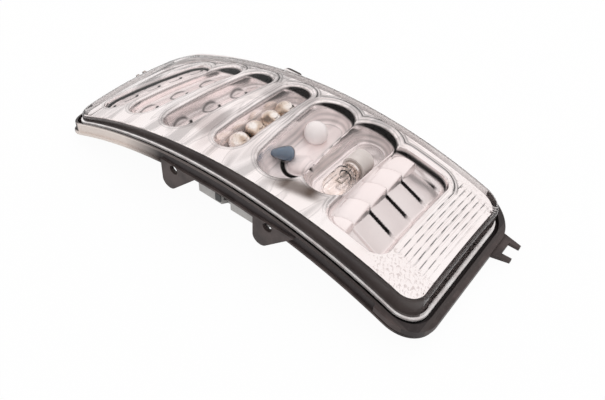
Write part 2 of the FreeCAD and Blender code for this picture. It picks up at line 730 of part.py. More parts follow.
def end_tab(label, x, y, z, reach, width, slot, slot_depth):
    """Flat tab on an end of the rim, with a slot that is open outwards; reach is signed along X."""
    body = new_body(label)
    sketch = new_sketch(body, "XY_Plane")
    floor = f"({reach} - ({slot_depth}))"
    half = f"({width}/2)"
    gap = f"({slot}/2)"
    nose = f"({width}/2 - {width}/6)"
    polygon(
        sketch,
        [
            ("0", f"-{half}"),
            (reach, f"-{nose}"),
            (reach, f"-{gap}"),
            (floor, f"-{gap}"),
            (floor, gap),
            (reach, gap),
            (reach, nose),
            ("0", half),
        ],
    )
    pad(body, sketch, "tab_thickness")
    return place(body, x, y, z)


rim_end = f"(foot_length/2 + {RIM_IN})"
ears = [near_ear("ear_left", "ear1_x"), near_ear("ear_right", "ear2_x")]
ears += [far_tab("tab_left", "tab1_x"), far_tab("tab_right", "tab2_x")]
ears.append(
    end_tab(
        "tab_end", f"-{rim_end}", "end_tab_y", "0", "-(rim_wall + end_tab_reach)", "end_tab_width",
        "end_slot", "-end_tab_reach/2",
    )
)
ears.append(
    end_tab(
        "fork", rim_end, "fork_y", "fork_height", "(rim_wall + fork_reach)", "fork_width", "fork_slot",
        "fork_slot_depth",
    )
)

# Seat and bosses for the carrier, under the tub.
seat_outer = ("opening_length + 2*seat_land", "opening_width + 2*seat_land", "seat_corner + seat_land")
opening = ("opening_length", "opening_width", "seat_corner")


def flat_plan(label, outlines, thickness, x, y, z):
    """Flat plate with a plan outline; a second outline is a hole."""
    body = new_body(label)
    sketch = new_sketch(body, "XY_Plane")
    for length, width, corner in outlines:
        round_rectangle(sketch, length, width, corner)
    pad(body, sketch, thickness)
    return place(body, x, y, z)


seat_top = "(tub_floor_height - seat_height)"
seat = flat_plan("seat", [seat_outer], f"{seat_top} - tub_wall/2", "seat_x", "seat_y", "seat_height")
seat_hole = flat_plan("seat_hole", [opening], "tub_floor_height", "seat_x", "seat_y", "seat_height/2")
BOSSES = [("boss_left_x", "boss_far_y"), ("boss_right_x", "boss_far_y"), ("boss_right_x", "boss_near_y")]
POSTS = []
for side, inwards in (("left", "+"), ("right", "-")):
    for sign in ("", "-"):
        POSTS.append((f"post_{side}_x", f"{sign}post_{side}_y", inwards))
screw_bore = "(screw_shank + 2*screw_clearance)"
bosses = []
groove = common(
    "groove",
    plan("groove_plan", lens_outline(RIM_IN), lens_outline(upstand_out)),
    band("groove_band", channel_top, "arch_radius + channel_depth"),
)
bores = [seat_hole, groove]
for index, (x, y) in enumerate(BOSSES, 1):
    bosses.append(rod(f"boss_{index}", x, y, CARRIER_TOP, "boss_diameter", f"boss_top - {CARRIER_TOP}"))
    bores.append(rod(f"boss_bore_{index}", x, y, "0", screw_bore, f"{CARRIER_TOP} + carrier_screw_length"))
for index, (x, y, inwards) in enumerate(POSTS, 1):
    bores.append(rod(f"floor_bore_{index}", x, y, "0", screw_bore, "tub_floor_height + tub_wall"))
for index, x in enumerate(("ear1_x", "ear2_x"), 1):
    front = f"-(foot_width/2 + {RIM_OUT} + 2*rim_lip)"
    depth = "ear_thickness + rim_wall"
    bores.append(rod(f"ear_bore_{index}", x, front, "ear_hole_height", "ear_hole", depth, "-90"))
bores.append(rod("vent_bore", "vent_x", "0", "0", "vent_stem + 2*screw_clearance", "tub_floor_height"))

rim_pieces = [rim_wall_part, channel_part, lip_part, upstand_part, shelf_top, shelf_wall]
housing_solid = fuse_in_turn("housing_solid", *rim_pieces, tub_shell, seat, *ears, *bosses)
housing = cut("housing", housing_solid, fuse("housing_bores", *bores))

# Lens: clear cover with a crowned face, a round edge, side walls and a foot in the channel.
lens_block = cut(
    "lens_block",
    common("lens_prism", plan("lens_plan", lens_outline("0")), crown("lens_crown", "0")),
    band("lens_under", "arch_radius - tool_height", "arch_radius - lens_foot_thickness"),
)
lens_hollow = common(
    "lens_hollow", plan("lens_hollow_plan", lens_outline(lens_in)), crown("lens_inside", "lens_wall")
)
doc.recompute()
lens_round = doc.addObject("Part::Fillet", "lens_round")
lens_round.Base = lens_block
edge_size = value("lens_edge")


def on_face_edge(edge):
    """True for an edge of the crowned face."""
    middle = edge.valueAt((edge.FirstParameter + edge.LastParameter) / 2)
    radius = ((middle.x - value(LENS_X)) ** 2 + (middle.z - value(LENS_Z)) ** 2) ** 0.5
    lift = (value("crown_radius") ** 2 - (middle.y + value("crown_offset")) ** 2) ** 0.5
    crest = value("arch_radius + crown_rise - crown_radius") + lift
    return abs(radius - crest) < value("lens_wall") / 10


face_edges = [number for number, edge in enumerate(lens_block.Shape.Edges, 1) if on_face_edge(edge)]
lens_round.Edges = [(number, edge_size, edge_size) for number in face_edges]
lens_foot = common(
    "lens_foot",
    plan("lens_foot_plan", lens_outline("lens_foot_reach"), lens_outline(lens_in)),
    band("lens_foot_band", "arch_radius - lens_foot_thickness", "arch_radius"),
)
lens = fuse("lens", cut("lens_shell", lens_round, lens_hollow), lens_foot)

# Seal: black bead on the channel floor, under the lens foot.
lens_seal = common(
    "lens_seal",
    plan("lens_seal_plan", lens_outline("lens_foot_reach"), lens_outline(lens_in)),
    band("lens_seal_band", channel_top, "arch_radius - lens_foot_thickness"),
)

# Bezel: bright face plate on the upstand, with an opening over each cup and a fluted strip at the right.
WELLS = [f"well{number}" for number in range(1, 7)]


def well_block(label, well, margin, taper):
    """Upright block of a well's outline, widened by a margin; a tapered one narrows downwards."""
    body = new_body(label)
    sketch = new_sketch(body, "XY_Plane")
    obround(sketch, f"{well}_length + 2*({margin})", f"{well}_width + 2*({margin})")
    pad(body, sketch, "cup_reach", down=True, taper=taper)
    top = f"{face_height(well + '_x', BEZEL_DROP)} + cup_headroom"
    return place(body, f"{well}_x", f"{well}_y", top, f"-{well}_slant")


def bowl_block(label, margin, taper):
    """Upright block of the bowl's outline, widened by a margin."""
    body = new_body(label)
    sketch = new_sketch(body, "XY_Plane")
    round_rectangle(
        sketch, f"bowl_width + 2*({margin})", f"bowl_length + 2*({margin})", f"bowl_corner + ({margin})"
    )
    pad(body, sketch, "cup_reach", down=True, taper=taper)
    return place(body, "bowl_x", "bowl_y", f"{face_height('bowl_x', BEZEL_DROP)} + 2*cup_headroom")


bezel_plate = cut(
    "bezel_plate",
    common("bezel_block", plan("bezel_plan", lens_outline(upstand_out)), crown("bezel_crown", BEZEL_DROP)),
    crown("bezel_under", UPSTAND_DROP),
)
flutes = []
crown_centre = "(arch_radius + crown_rise - crown_radius)"
for index in range(int(value("flute_count"))):
    flute = new_body(f"flute_{index}")
    flute_sketch = new_sketch(flute, "XZ_Plane")
    circle(flute_sketch, "0", f"crown_radius - {BEZEL_DROP}", "2*flute_radius")
    spin(flute, flute_sketch, "H_Axis", "flute_angle")
    lean = f"(asin((flute_start - {LENS_X})/arch_radius) + flute_pitch*{index}*1 deg)"
    flute_x = f"{LENS_X} + {crown_centre}*sin({lean})"
    flute_z = f"{LENS_Z} + {crown_centre}*cos({lean})"
    flutes.append(place(flute, flute_x, "-crown_offset", flute_z, lean, Vector(0, 1, 0)))
openings = [well_block(f"{well}_opening", well, "0", None) for well in WELLS]
openings.append(bowl_block("bowl_opening", "0", None))
flute_trim = box(
    "flute_trim", "0", "flute_near", "0", "foot_length/2", "flute_far - flute_near", "tool_height"
)
flute_row = common("flute_row", fuse("flute_rods", *flutes), flute_trim)
bezel_fluted = fuse("bezel_fluted", bezel_plate, flute_row)
bezel = cut("bezel", bezel_fluted, fuse("bezel_openings", *openings))

# Reflector: bright plate under the bezel with a tapered cup below each opening and steps in the bowl.
plate = cut(
    "plate",
    common(
        "plate_block",
        plan("plate_plan", lens_outline(f"{upstand_in} - reflector_clearance")),
        crown("plate_crown", PLATE_DROP),
    ),
    crown("plate_under", f"{PLATE_DROP} + reflector_wall"),
)
cup_out = "cup_margin + reflector_wall"
taper_in = "-cup_taper"
cup_ceiling = "cup_floor_radius + tool_height"
cup_blocks = [well_block(f"{well}_cup", well, cup_out, taper_in) for well in WELLS]
cup_blocks.append(bowl_block("bowl_cup", cup_out, taper_in))
cup_hollows = [well_block(f"{well}_hollow", well, "cup_margin", taper_in) for well in WELLS]
bowl_hollow = bowl_block("bowl_hollow", "cup_margin", taper_in)
cup_hollows.append(bowl_hollow)
cups = common(
    "cups",
    fuse("cup_walls", *cup_blocks),
    band("cup_floor", "cup_floor_radius - reflector_wall", cup_ceiling, "cup_floor_x", CUP_Z),
    crown("cup_roof", PLATE_DROP),
)
cup_space = common(
    "cup_space",
    fuse("cup_insides", *cup_hollows),
    band("cup_space_floor", "cup_floor_radius", cup_ceiling, "cup_floor_x", CUP_Z),
)
posts = []
post_bores = []
for index, (x, y, inwards) in enumerate(POSTS, 1):
    foot = tub_height(f"{x} {inwards} post_diameter/2")
    roof = face_height(x, f"({PLATE_DROP} + reflector_wall/2)")
    drop = f"(({y} + crown_offset)^2/(2*crown_radius))"
    posts.append(rod(f"post_{index}", x, y, foot, "post_diameter", f"{roof} - {drop} - {foot}"))
    post_bores.append(rod(f"post_bore_{index}", x, y, foot, screw_bore, "screw_length"))
steps = new_body("steps")
step_sketch = new_sketch(steps, "YZ_Plane")
count = int(value("step_count"))
pitch = "(bowl_length/step_count)"
base = "-step_rise*2"
saw = [("bowl_length/2", base), ("-bowl_length/2", base)][::-1]
for index in range(count, 0, -1):
    saw.append((f"-bowl_length/2 + {pitch}*{index}", "step_rise"))
    saw.append((f"-bowl_length/2 + {pitch}*{index - 1}", "0"))
polygon(step_sketch, saw[:-1] + [("-bowl_length/2", "0")])
pad(steps, step_sketch, "bowl_width*2", both_ways=True)
place(steps, "bowl_x", "bowl_y", f"{cup_height('bowl_x')} + reflector_wall", "bowl_tilt", Vector(0, 1, 0))
bowl_steps = common("bowl_steps", steps, bowl_block("step_trim", cup_out, taper_in), cup_space)


def bulb_hole(label, x, y, diameter):
    """Round tool through a cup floor, wider than what passes."""
    return rod(label, x, y, "0", f"{diameter} + 2*bulb_hole_margin", "tool_height")


bulb_holes = [
    bulb_hole("indicator_hole", "indicator_x", "indicator_y", "indicator_cap"),
    bulb_hole("sidelight_hole", "sidelight_x", "sidelight_y", "sidelight_base"),
    bulb_hole("running_hole", "well6_x", "running_y", "running_stem"),
]
board_reach = "(board_length/2 - board_screw_inset)"
board_ends = [f"board_y - {board_reach}", f"board_y + {board_reach}"]
board_bore = "(board_screw_shank + 2*screw_clearance)"
board_bores = []
for index, y in enumerate(board_ends):
    board_bores.append(rod(f"board_bore_{index}", "well4_x", y, "0", board_bore, "tool_height"))
reflector_shell = cut("reflector_shell", fuse("reflector_solid", plate, cups, *posts), cup_space)
reflector_stepped = fuse("reflector_stepped", reflector_shell, bowl_steps)
reflector_holes = fuse("reflector_holes", *post_bores, *bulb_holes, *board_bores)
reflector = cut("reflector", reflector_stepped, reflector_holes)

# Marker board in the fourth well, with a row of amber domes and two small screws.
board_left = "well4_x - board_width/2"
board_right = "well4_x + board_width/2"
board_z = cup_height(board_right)
board_blank = box(
    "board_blank", board_left, "board_y - board_length/2", board_z, "board_width", "board_length",
    "board_thickness",
)
marker_board = cut("marker_board", board_blank, fuse("board_holes", *board_bores))
board_top = f"({board_z} + board_thickness)"
dome_pitch = "((board_length - 2*board_screw_inset)/dome_count)"
domes = []
for index in range(int(value("dome_count"))):
    y = f"board_y + {dome_pitch}*({index} - (dome_count - 1)/2)"
    skirt = rod(f"dome_skirt_{index}", "well4_x", y, board_top, "dome_diameter", "dome_skirt")
    ball = doc.addObject("Part::Sphere", f"dome_ball_{index}")
    bind(ball, "Radius", "dome_diameter/2")
    ball.Angle1 = 0
    place(ball, "well4_x", y, f"{board_top} + dome_skirt")
    domes.append(fuse(f"dome_{index}", skirt, ball))
marker_domes = group("marker_domes", domes)


def screw(label, x, y, z, shank, head, head_height, length, upward):
    """Screw with a domed head at z and its shank up or down from there."""
    sign = "" if upward else "-"
    outline = [
        ("0", f"-{sign}1*({head_height})"),
        (f"({head})/4", f"-{sign}1*({head_height})"),
        (f"({head})/2", f"-{sign}1*({head_height})/2"),
        (f"({head})/2", "0"),
        (f"({shank})/2", "0"),
        (f"({shank})/2", f"{sign}1*({length})"),
        ("0", f"{sign}1*({length})"),
    ]
    if not upward:
        outline = [(r, h.replace("--", "")) for r, h in outline]
    return turned(label, outline, x, y, z)


board_screws = group(
    "board_screws",
    [
        screw(
            f"board_screw_{index}", "well4_x", y, board_top, "board_screw_shank", "board_screw_head",
            "board_screw_head_height", "board_screw_length", False,
        )
        for index, y in enumerate(board_ends)
    ],
)
reflector_screws = group(
    "reflector_screws",
    [
        screw(
            f"reflector_screw_{index}", x, y, tub_height(f"{x} - (0 {inwards} screw_head/2)", "tub_wall"),
            "screw_shank", "screw_head", "screw_head_height", "screw_length", True,
        )
        for index, (x, y, inwards) in enumerate(POSTS)
    ],
)

# Rear carrier: pale grey plate with sockets, connector shroud and two lugs that show under the near rim.
carrier_plate = flat_plan(
    "carrier_plate", [("carrier_length", "carrier_width", "carrier_corner")], "carrier_thickness",
    "carrier_x", "carrier_y", CARRIER_BOTTOM,
)
lug = new_body("lug")
lug_sketch = new_sketch(lug, "YZ_Plane")
lug_root = "(carrier_y - carrier_width/2 + carrier_corner)"
polygon(
    lug_sketch,
    [
        (lug_root, CARRIER_BOTTOM),
        (lug_root, CARRIER_TOP),
        (f"{lug_root} - carrier_corner", CARRIER_TOP),
        ("lug_wall_y", "lug_bend + lug_thickness"),
        ("lug_wall_y", "lug_top"),
        ("lug_wall_y - lug_thickness", "lug_top"),
        ("lug_wall_y - lug_thickness", "lug_bend"),
        (f"{lug_root} - carrier_corner", CARRIER_BOTTOM),
    ],
)
pad(lug, lug_sketch, "lug_right - lug_left")
place(lug, "lug_left")
lug_gap = box(
    "lug_gap", "lug_gap_left", "lug_wall_y - 2*lug_thickness", f"{CARRIER_TOP} + carrier_thickness",
    "lug_gap_right - lug_gap_left", "4*lug_thickness", "lug_top",
)
cup_under = "(cup_floor_height - reflector_wall - socket_gap)"
indicator_bore = "(indicator_cap + 2*socket_clearance)"
sidelight_bore = "(sidelight_base + 2*socket_clearance)"
socket_rise = f"{cup_under} - {CARRIER_TOP}"
indicator_tube = f"{indicator_bore} + 2*socket_wall"
sidelight_tube = f"{sidelight_bore} + 2*socket_wall"
sockets = [
    rod("indicator_socket", "indicator_x", "indicator_y", CARRIER_TOP, indicator_tube, socket_rise),
    rod("sidelight_socket", "sidelight_x", "sidelight_y", CARRIER_TOP, sidelight_tube, socket_rise),
]
socket_bores = [
    rod("indicator_bore", "indicator_x", "indicator_y", CARRIER_TOP, indicator_bore, "tool_height"),
    rod("sidelight_bore", "sidelight_x", "sidelight_y", CARRIER_TOP, sidelight_bore, "tool_height"),
]
connector_left = "(connector_right - connector_length)"
connector_bottom = f"({CARRIER_BOTTOM} - connector_height)"
shroud = box(
    "shroud", connector_left, "connector_y - connector_width/2", connector_bottom, "connector_length",
    "connector_width", "connector_height",
)
mouth = box(
    "connector_mouth", f"{connector_left} + connector_wall", "connector_y - connector_width/2 + connector_wall",
    f"{connector_bottom} + connector_wall", "connector_length", "connector_width - 2*connector_wall",
    "connector_height - 2*connector_wall",
)
pin_z = f"({connector_bottom} + connector_height/2 - pin_thickness/2)"
pins = []
for index in range(int(value("pin_count"))):
    y = f"connector_y + pin_pitch*({index} - (pin_count - 1)/2) - pin_width/2"
    reach = "(connector_wall + pin_length)"
    pins.append(box(f"pin_{index}", connector_left, y, pin_z, reach, "pin_width", "pin_thickness"))
carrier_bores = [
    rod(f"carrier_bore_{index}", x, y, "0", screw_bore, CARRIER_TOP) for index, (x, y) in enumerate(BOSSES)
]
carrier_solid = fuse("carrier_solid", carrier_plate, lug, shroud, *sockets)
carrier_cuts = fuse("carrier_cuts", lug_gap, mouth, *socket_bores, *carrier_bores, *pins)
rear_carrier = cut("rear_carrier", carrier_solid, carrier_cuts)
connector_pins = group("connector_pins", pins)
carrier_gasket = flat_plan(
    "carrier_gasket", [seat_outer, opening], "gasket_thickness", "seat_x", "seat_y", CARRIER_TOP
)
carrier_screws = group(
    "carrier_screws",
    [
        screw(
            f"carrier_screw_{index}", x, y, CARRIER_BOTTOM, "screw_shank", "screw_head", "screw_head_height",
            "carrier_screw_length", True,
        )
        for index, (x, y) in enumerate(BOSSES)
    ],
)

# Contact strips on the underside of the carrier, from below each socket to the connector's back wall.
strip_z = f"({CARRIER_BOTTOM} - strip_thickness)"
strip_end = f"({connector_left} - strip_thickness)"


def strip(label, x, y, turn_x, pin_index):
    """Flat strip: from a socket along X to the turn, across to a pin's line, then on to the connector."""
    body = new_body(label)
    sketch = new_sketch(body, "XY_Plane")
    half = "strip_width/2"
    line = f"(connector_y + pin_pitch*({pin_index} - (pin_count - 1)/2))"
    way = "+" if value(f"{y} - {line}") > 0 else "-"
    back = "-" if way == "+" else "+"
    polygon(
        sketch,
        [
            (f"({x}) - {half}", f"({y}) {back} {half}"),
            (f"({turn_x}) - {half}", f"({y}) {back} {half}"),
            (f"({turn_x}) - {half}", f"{line} {back} {half}"),
            (strip_end, f"{line} {back} {half}"),
            (strip_end, f"{line} {way} {half}"),
            (f"({turn_x}) + {half}", f"{line} {way} {half}"),
            (f"({turn_x}) + {half}", f"({y}) {way} {half}"),
            (f"({x}) - {half}", f"({y}) {way} {half}"),
        ],
    )
    pad(body, sketch, "strip_thickness")
    return place(body, z=strip_z)


contact_strips = group(
    "contact_strips",
    [
        strip("strip_sidelight", "sidelight_x", "sidelight_y", "sidelight_x + strip_width*2", 0),
        strip("strip_indicator", "indicator_x", "indicator_y", "strip_turn_x", 1),
        strip("strip_running", "well6_x - strip_width*2", "running_y", f"{strip_end} - strip_width", 2),
    ],
)

# Clip over the first lug's top edge.
clip_outer = box(
    "clip_outer", "lug_gap_left - clip_length", "lug_wall_y - lug_thickness - clip_clearance - clip_wall",
    "lug_top - clip_height", "clip_length", "lug_thickness + 2*(clip_clearance + clip_wall)",
    "clip_height + clip_wall",
)
clip_slot = box(
    "clip_slot", "lug_gap_left - 2*clip_length", "lug_wall_y - lug_thickness - clip_clearance",
    "lug_top - 2*clip_height", "3*clip_length", "lug_thickness + 2*clip_clearance", "2*clip_height",
)
carrier_clip = cut("carrier_clip", clip_outer, clip_slot)

# Indicator bulb: metal cap in its socket and a round silvered glass.
cap_rise = f"(indicator_cap_top - {CARRIER_TOP})"
indicator_bulb_cap = turned(
    "indicator_bulb_cap",
    [
        ("0", "0"),
        ("indicator_cap/2 - socket_wall/2", "0"),
        ("indicator_cap/2", "socket_wall/2"),
        ("indicator_cap/2", cap_rise),
        ("0", cap_rise),
    ],
    "indicator_x", "indicator_y", CARRIER_TOP,
)
indicator_ball = doc.addObject("Part::Sphere", "indicator_ball")
bind(indicator_ball, "Radius", "indicator_glass/2")
ball_rise = "(indicator_cap_top + indicator_neck_length + indicator_glass/3)"
place(indicator_ball, "indicator_x", "indicator_y", ball_rise)
indicator_bulb_glass = fuse(
    "indicator_bulb_glass",
    indicator_ball,
    rod("indicator_stem", "indicator_x", "indicator_y", "indicator_cap_top", "indicator_neck",
        "indicator_neck_length + indicator_glass/3"),
)

# Sidelight bulb: plastic wedge base and a dark blue capsule.
base_rise = f"(sidelight_base_top - {CARRIER_TOP})"
sidelight_bulb_base = rod(
    "sidelight_bulb_base", "sidelight_x", "sidelight_y", CARRIER_TOP, "sidelight_base", base_rise
)
capsule_body = "(sidelight_glass_length - sidelight_glass/2)"
sidelight_tip = doc.addObject("Part::Sphere", "sidelight_tip")
bind(sidelight_tip, "Radius", "sidelight_glass/2")
place(sidelight_tip, "sidelight_x", "sidelight_y", f"sidelight_base_top + {capsule_body}")
sidelight_bulb_glass = fuse(
    "sidelight_bulb_glass",
    sidelight_tip,
    rod("sidelight_tube_glass", "sidelight_x", "sidelight_y", "sidelight_base_top", "sidelight_glass",
        capsule_body),
)

# Lying bulb of the sixth well: elbow holder on the carrier, metal base, clear glass, wires and coil.
barrel_near = "(running_y + running_stem/2 - running_barrel_length)"
holder_solid = fuse(
    "holder_solid",
    rod("holder_stem", "well6_x", "running_y", CARRIER_TOP, "running_stem",
        f"running_height - {CARRIER_TOP}"),
    rod("holder_barrel", "well6_x", barrel_near, "running_height", "running_barrel",
        "running_barrel_length", "-90"),
)
running_bore = "(running_base + 2*socket_clearance)"
running_bulb_holder = cut(
    "running_bulb_holder",
    holder_solid,
    rod("holder_bore", "well6_x", f"{barrel_near} - running_barrel_length", "running_height", running_bore,
        "2*running_barrel_length - running_barrel_floor", "-90"),
)
base_far = f"({barrel_near} + running_barrel_length - running_barrel_floor)"
running_bulb_base = rod(
    "running_bulb_base", "well6_x", f"{base_far} - running_base_length", "running_height", "running_base",
    "running_base_length", "-90",
)
glass_far = f"({base_far} - running_base_length)"
bulge = "(running_glass_length - running_glass/2)"
thin = "running_glass_wall"


def bulb_skin(label, skin):
    """Closed bulb along -Y: a neck, a tube and a round end, made smaller by a skin thickness."""
    neck = rod(
        label + "_neck", "well6_x", glass_far, "running_height", f"running_neck - 2*({skin})",
        "running_neck_length + running_neck/2", "90",
    )
    tube_length = f"{bulge} - running_neck_length - ({skin})"
    tube = rod(
        label + "_tube", "well6_x", f"{glass_far} - running_neck_length - ({skin})", "running_height",
        f"running_glass - 2*({skin})", tube_length, "90",
    )
    tip = doc.addObject("Part::Sphere", label + "_tip")
    bind(tip, "Radius", f"running_glass/2 - ({skin})")
    place(tip, "well6_x", f"{glass_far} - {bulge}", "running_height")
    return fuse(label, neck, tube, tip)


bulb_outside = bulb_skin("bulb_outside", "0")
running_bulb_glass = cut("running_bulb_glass", bulb_outside, bulb_skin("bulb_inside", thin))
wires = [
    rod(f"wire_{index}", f"well6_x {sign} wire_spread/2", glass_far, "running_height", "wire_thickness",
        "wire_length", "90")
    for index, sign in enumerate("-+")
]
coil = rod(
    "coil", "well6_x - wire_spread/2 - wire_thickness/2", f"{glass_far} - wire_length", "running_height",
    "coil_thickness", "wire_spread + wire_thickness", "90", Vector(0, 1, 0),
)
running_bulb_wires = fuse("running_bulb_wires", coil, *wires)

# Breather cap with its stem in the tub floor.
vent_cap = turned(
    "vent_cap",
    [
        ("0", "-vent_cap_height"),
        ("vent_cap/2 - vent_cap_height/4", "-vent_cap_height"),
        ("vent_cap/2", "-vent_cap_height*3/4"),
        ("vent_cap/2", "0"),
        ("vent_stem/2", "0"),
        ("vent_stem/2", "vent_stem_length"),
        ("0", "vent_stem_length"),
    ],
    "vent_x", "0", tub_height("vent_x - vent_cap/2", "tub_wall"),
)

NODES = [
    housing, lens, lens_seal, bezel, reflector, marker_board, marker_domes, board_screws, reflector_screws,
    rear_carrier, carrier_gasket, carrier_screws, contact_strips, connector_pins, carrier_clip,
    indicator_bulb_cap, indicator_bulb_glass, sidelight_bulb_base, sidelight_bulb_glass,
    running_bulb_holder, running_bulb_base, running_bulb_glass, running_bulb_wires, vent_cap,
]

doc.recompute()
failed = [thing.Name for thing in doc.Objects if "Invalid" in thing.State or "Error" in thing.State]
for node in NODES:
    if node.Shape.isNull() or not node.Shape.isValid() or not node.Shape.Solids:
        failed.append(node.Label)
if failed:
    raise RuntimeError("not built: " + ", ".join(failed))
os.makedirs("parts", exist_ok=True)
for node in NODES:
    node.Shape.exportStep(f"parts/{node.Label}.step")
    print(node.Label, len(node.Shape.Solids), round(node.Shape.Volume))
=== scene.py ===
from collections import namedtuple

import bpy
import numpy as np
from mathutils import Matrix, Vector


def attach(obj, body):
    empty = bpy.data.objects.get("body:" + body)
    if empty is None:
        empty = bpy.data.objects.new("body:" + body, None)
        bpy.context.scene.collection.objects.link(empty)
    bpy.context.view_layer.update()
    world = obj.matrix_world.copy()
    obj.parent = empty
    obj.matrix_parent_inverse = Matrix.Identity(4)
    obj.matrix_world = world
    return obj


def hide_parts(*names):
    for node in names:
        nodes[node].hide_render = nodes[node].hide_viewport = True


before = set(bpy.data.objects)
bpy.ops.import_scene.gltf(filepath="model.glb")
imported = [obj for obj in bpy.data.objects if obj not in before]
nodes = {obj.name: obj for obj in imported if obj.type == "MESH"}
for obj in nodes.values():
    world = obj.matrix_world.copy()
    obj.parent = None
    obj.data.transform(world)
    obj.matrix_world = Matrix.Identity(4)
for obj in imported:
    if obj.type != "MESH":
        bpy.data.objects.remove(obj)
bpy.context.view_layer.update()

# Housing: one dark brown-grey moulding with a fine spark-eroded grain. Its bowed rim carries the sealing
# channel, the upstand behind the lens wall, the ears, tabs and fork, and the wide shelf at the right end.
# Painted highlights make the lip pale where it would catch the light: on its upward faces towards the left
# end, at its near left, along the far side and round the left end.
ARCH_AXIS = Vector((0.00275, 0.0, -0.30302))
SHELF_X, SHELF_Y = 0.1456, 0.0606
UPSTAND_X, UPSTAND_Y = 0.1378, 0.0528
RIM_X, RIM_Y = 0.1435, 0.0585
NEAR_LIP_Y, NEAR_LIP_END_X, NEAR_LIP_FADE = -0.0598, -0.045, 30.0
FAR_LIP_NEAR_Y, FAR_LIP_FAR_Y, FAR_LIP_END_X = 0.0495, 0.0621, 0.125
LEFT_LIP_RIGHT_X, LEFT_LIP_LEFT_X, LEFT_LIP_NEAR_Y = -0.1335, -0.1475, -0.036
LIP_RADIUS = 0.3412
RIM_LEFT_X = -0.15
HOUSING_DARK, HOUSING_WORN = (0.026, 0.020, 0.020), (0.039, 0.030, 0.030)
SHELF_DARK, SHELF_WORN = (0.050, 0.038, 0.036), (0.085, 0.0646, 0.0612)
UPSTAND_DARK, UPSTAND_WORN = (0.060, 0.047, 0.045), (0.085, 0.068, 0.065)
LIP_HIGHLIGHT_FADE = [(0.02, (0.42, 0.37, 0.35)), (0.11, (0.14, 0.118, 0.112)), (0.25, (0.06, 0.048, 0.046))]
NEAR_LIP_HIGHLIGHT = (0.78, 0.70, 0.65)
PALE_LIP_HIGHLIGHT = (0.80, 0.75, 0.74)


def noise(tree, place, scale, detail=2.0, distortion=0.0):
    """Noise over a coordinate: values about one half."""
    node = tree.nodes.new("ShaderNodeTexNoise")
    node.inputs["Scale"].default_value = scale
    node.inputs["Detail"].default_value = detail
    node.inputs["Distortion"].default_value = distortion
    tree.links.new(place, node.inputs["Vector"])
    return node


def moulded_grain():
    """Group: fine noise as the grain of a mould, and broad noise as faint mottling of the colour."""
    group = bpy.data.node_groups.new("moulded_grain", "ShaderNodeTree")
    grain_scale = group.interface.new_socket("Grain Scale", in_out="INPUT", socket_type="NodeSocketFloat")
    grain_scale.default_value = 1400.0
    group.interface.new_socket("Grain", in_out="OUTPUT", socket_type="NodeSocketFloat")
    group.interface.new_socket("Mottle", in_out="OUTPUT", socket_type="NodeSocketFloat")
    inputs = group.nodes.new("NodeGroupInput")
    outputs = group.nodes.new("NodeGroupOutput")
    place = group.nodes.new("ShaderNodeTexCoord").outputs["Object"]
    fine = noise(group, place, 1400.0, detail=3.0)
    broad = noise(group, place, 90.0, detail=4.0)
    group.links.new(inputs.outputs["Grain Scale"], fine.inputs["Scale"])
    group.links.new(fine.outputs["Fac"], outputs.inputs["Grain"])
    group.links.new(broad.outputs["Fac"], outputs.inputs["Mottle"])
    return group


GRAIN = moulded_grain()


def new_material(name, roughness=0.5, metallic=0.0):
    """A material with one Principled shader, whose plain values are set on its sockets."""
    material = bpy.data.materials.new(name)
    material.use_nodes = True
    shader = material.node_tree.nodes["Principled BSDF"]
    shader.inputs["Roughness"].default_value = roughness
    shader.inputs["Metallic"].default_value = metallic
    return material, material.node_tree, shader


def ramp(tree, source, stops):
    """Colour ramp from a value: stops are (position, colour)."""
    node = tree.nodes.new("ShaderNodeValToRGB")
    node.color_ramp.elements[0].position = stops[0][0]
    node.color_ramp.elements[0].color = (*stops[0][1], 1)
    node.color_ramp.elements[1].position = stops[-1][0]
    node.color_ramp.elements[1].color = (*stops[-1][1], 1)
    for position, color in stops[1:-1]:
        node.color_ramp.elements.new(position).color = (*color, 1)
    tree.links.new(source, node.inputs["Fac"])
    return node.outputs["Color"]


def mix_color(tree, factor, first, second):
    """Mix of two colours; each may be a colour or a socket."""
    node = tree.nodes.new("ShaderNodeMix")
    node.data_type = "RGBA"
    tree.links.new(factor, node.inputs["Factor"])
    for name, source in (("A", first), ("B", second)):
        socket = [entry for entry in node.inputs if entry.name == name and entry.type == "RGBA"][0]
        if isinstance(source, tuple):
            socket.default_value = (*source, 1)
        else:
            tree.links.new(source, socket)
    return [entry for entry in node.outputs if entry.type == "RGBA"][0]


def calc(tree, operation, first, second=0.0, third=0.0):
    """One Math node; each input may be a number or a socket."""
    node = tree.nodes.new("ShaderNodeMath")
    node.operation = operation
    for socket, source in zip(node.inputs, (first, second, third)):
        if isinstance(source, (int, float)):
            socket.default_value = source
        else:
            tree.links.new(source, socket)
    return node.outputs["Value"]


def above(tree, value, limit):
    """1 where a value is over a limit, else 0."""
    return calc(tree, "GREATER_THAN", value, limit)


def below(tree, value, limit):
    """1 where a value is under a limit, else 0."""
    return calc(tree, "LESS_THAN", value, limit)


def both(tree, first, second):
    """Where two masks overlap: their product."""
    return calc(tree, "MULTIPLY", first, second)


def either(tree, first, second):
    """Where one of two masks is: the larger."""
    return calc(tree, "MAXIMUM", first, second)


def apart(tree, first, second):
    """Length of the long side over two legs at a right angle: root of the sum of their squares."""
    return calc(tree, "SQRT", calc(tree, "ADD", both(tree, first, first), both(tree, second, second)))


def object_place(tree):
    """Coordinates on the piece: the vector, then its X, Y and Z."""
    place = tree.nodes.new("ShaderNodeTexCoord").outputs["Object"]
    axes = tree.nodes.new("ShaderNodeSeparateXYZ")
    tree.links.new(place, axes.inputs["Vector"])
    return place, axes.outputs["X"], axes.outputs["Y"], axes.outputs["Z"]


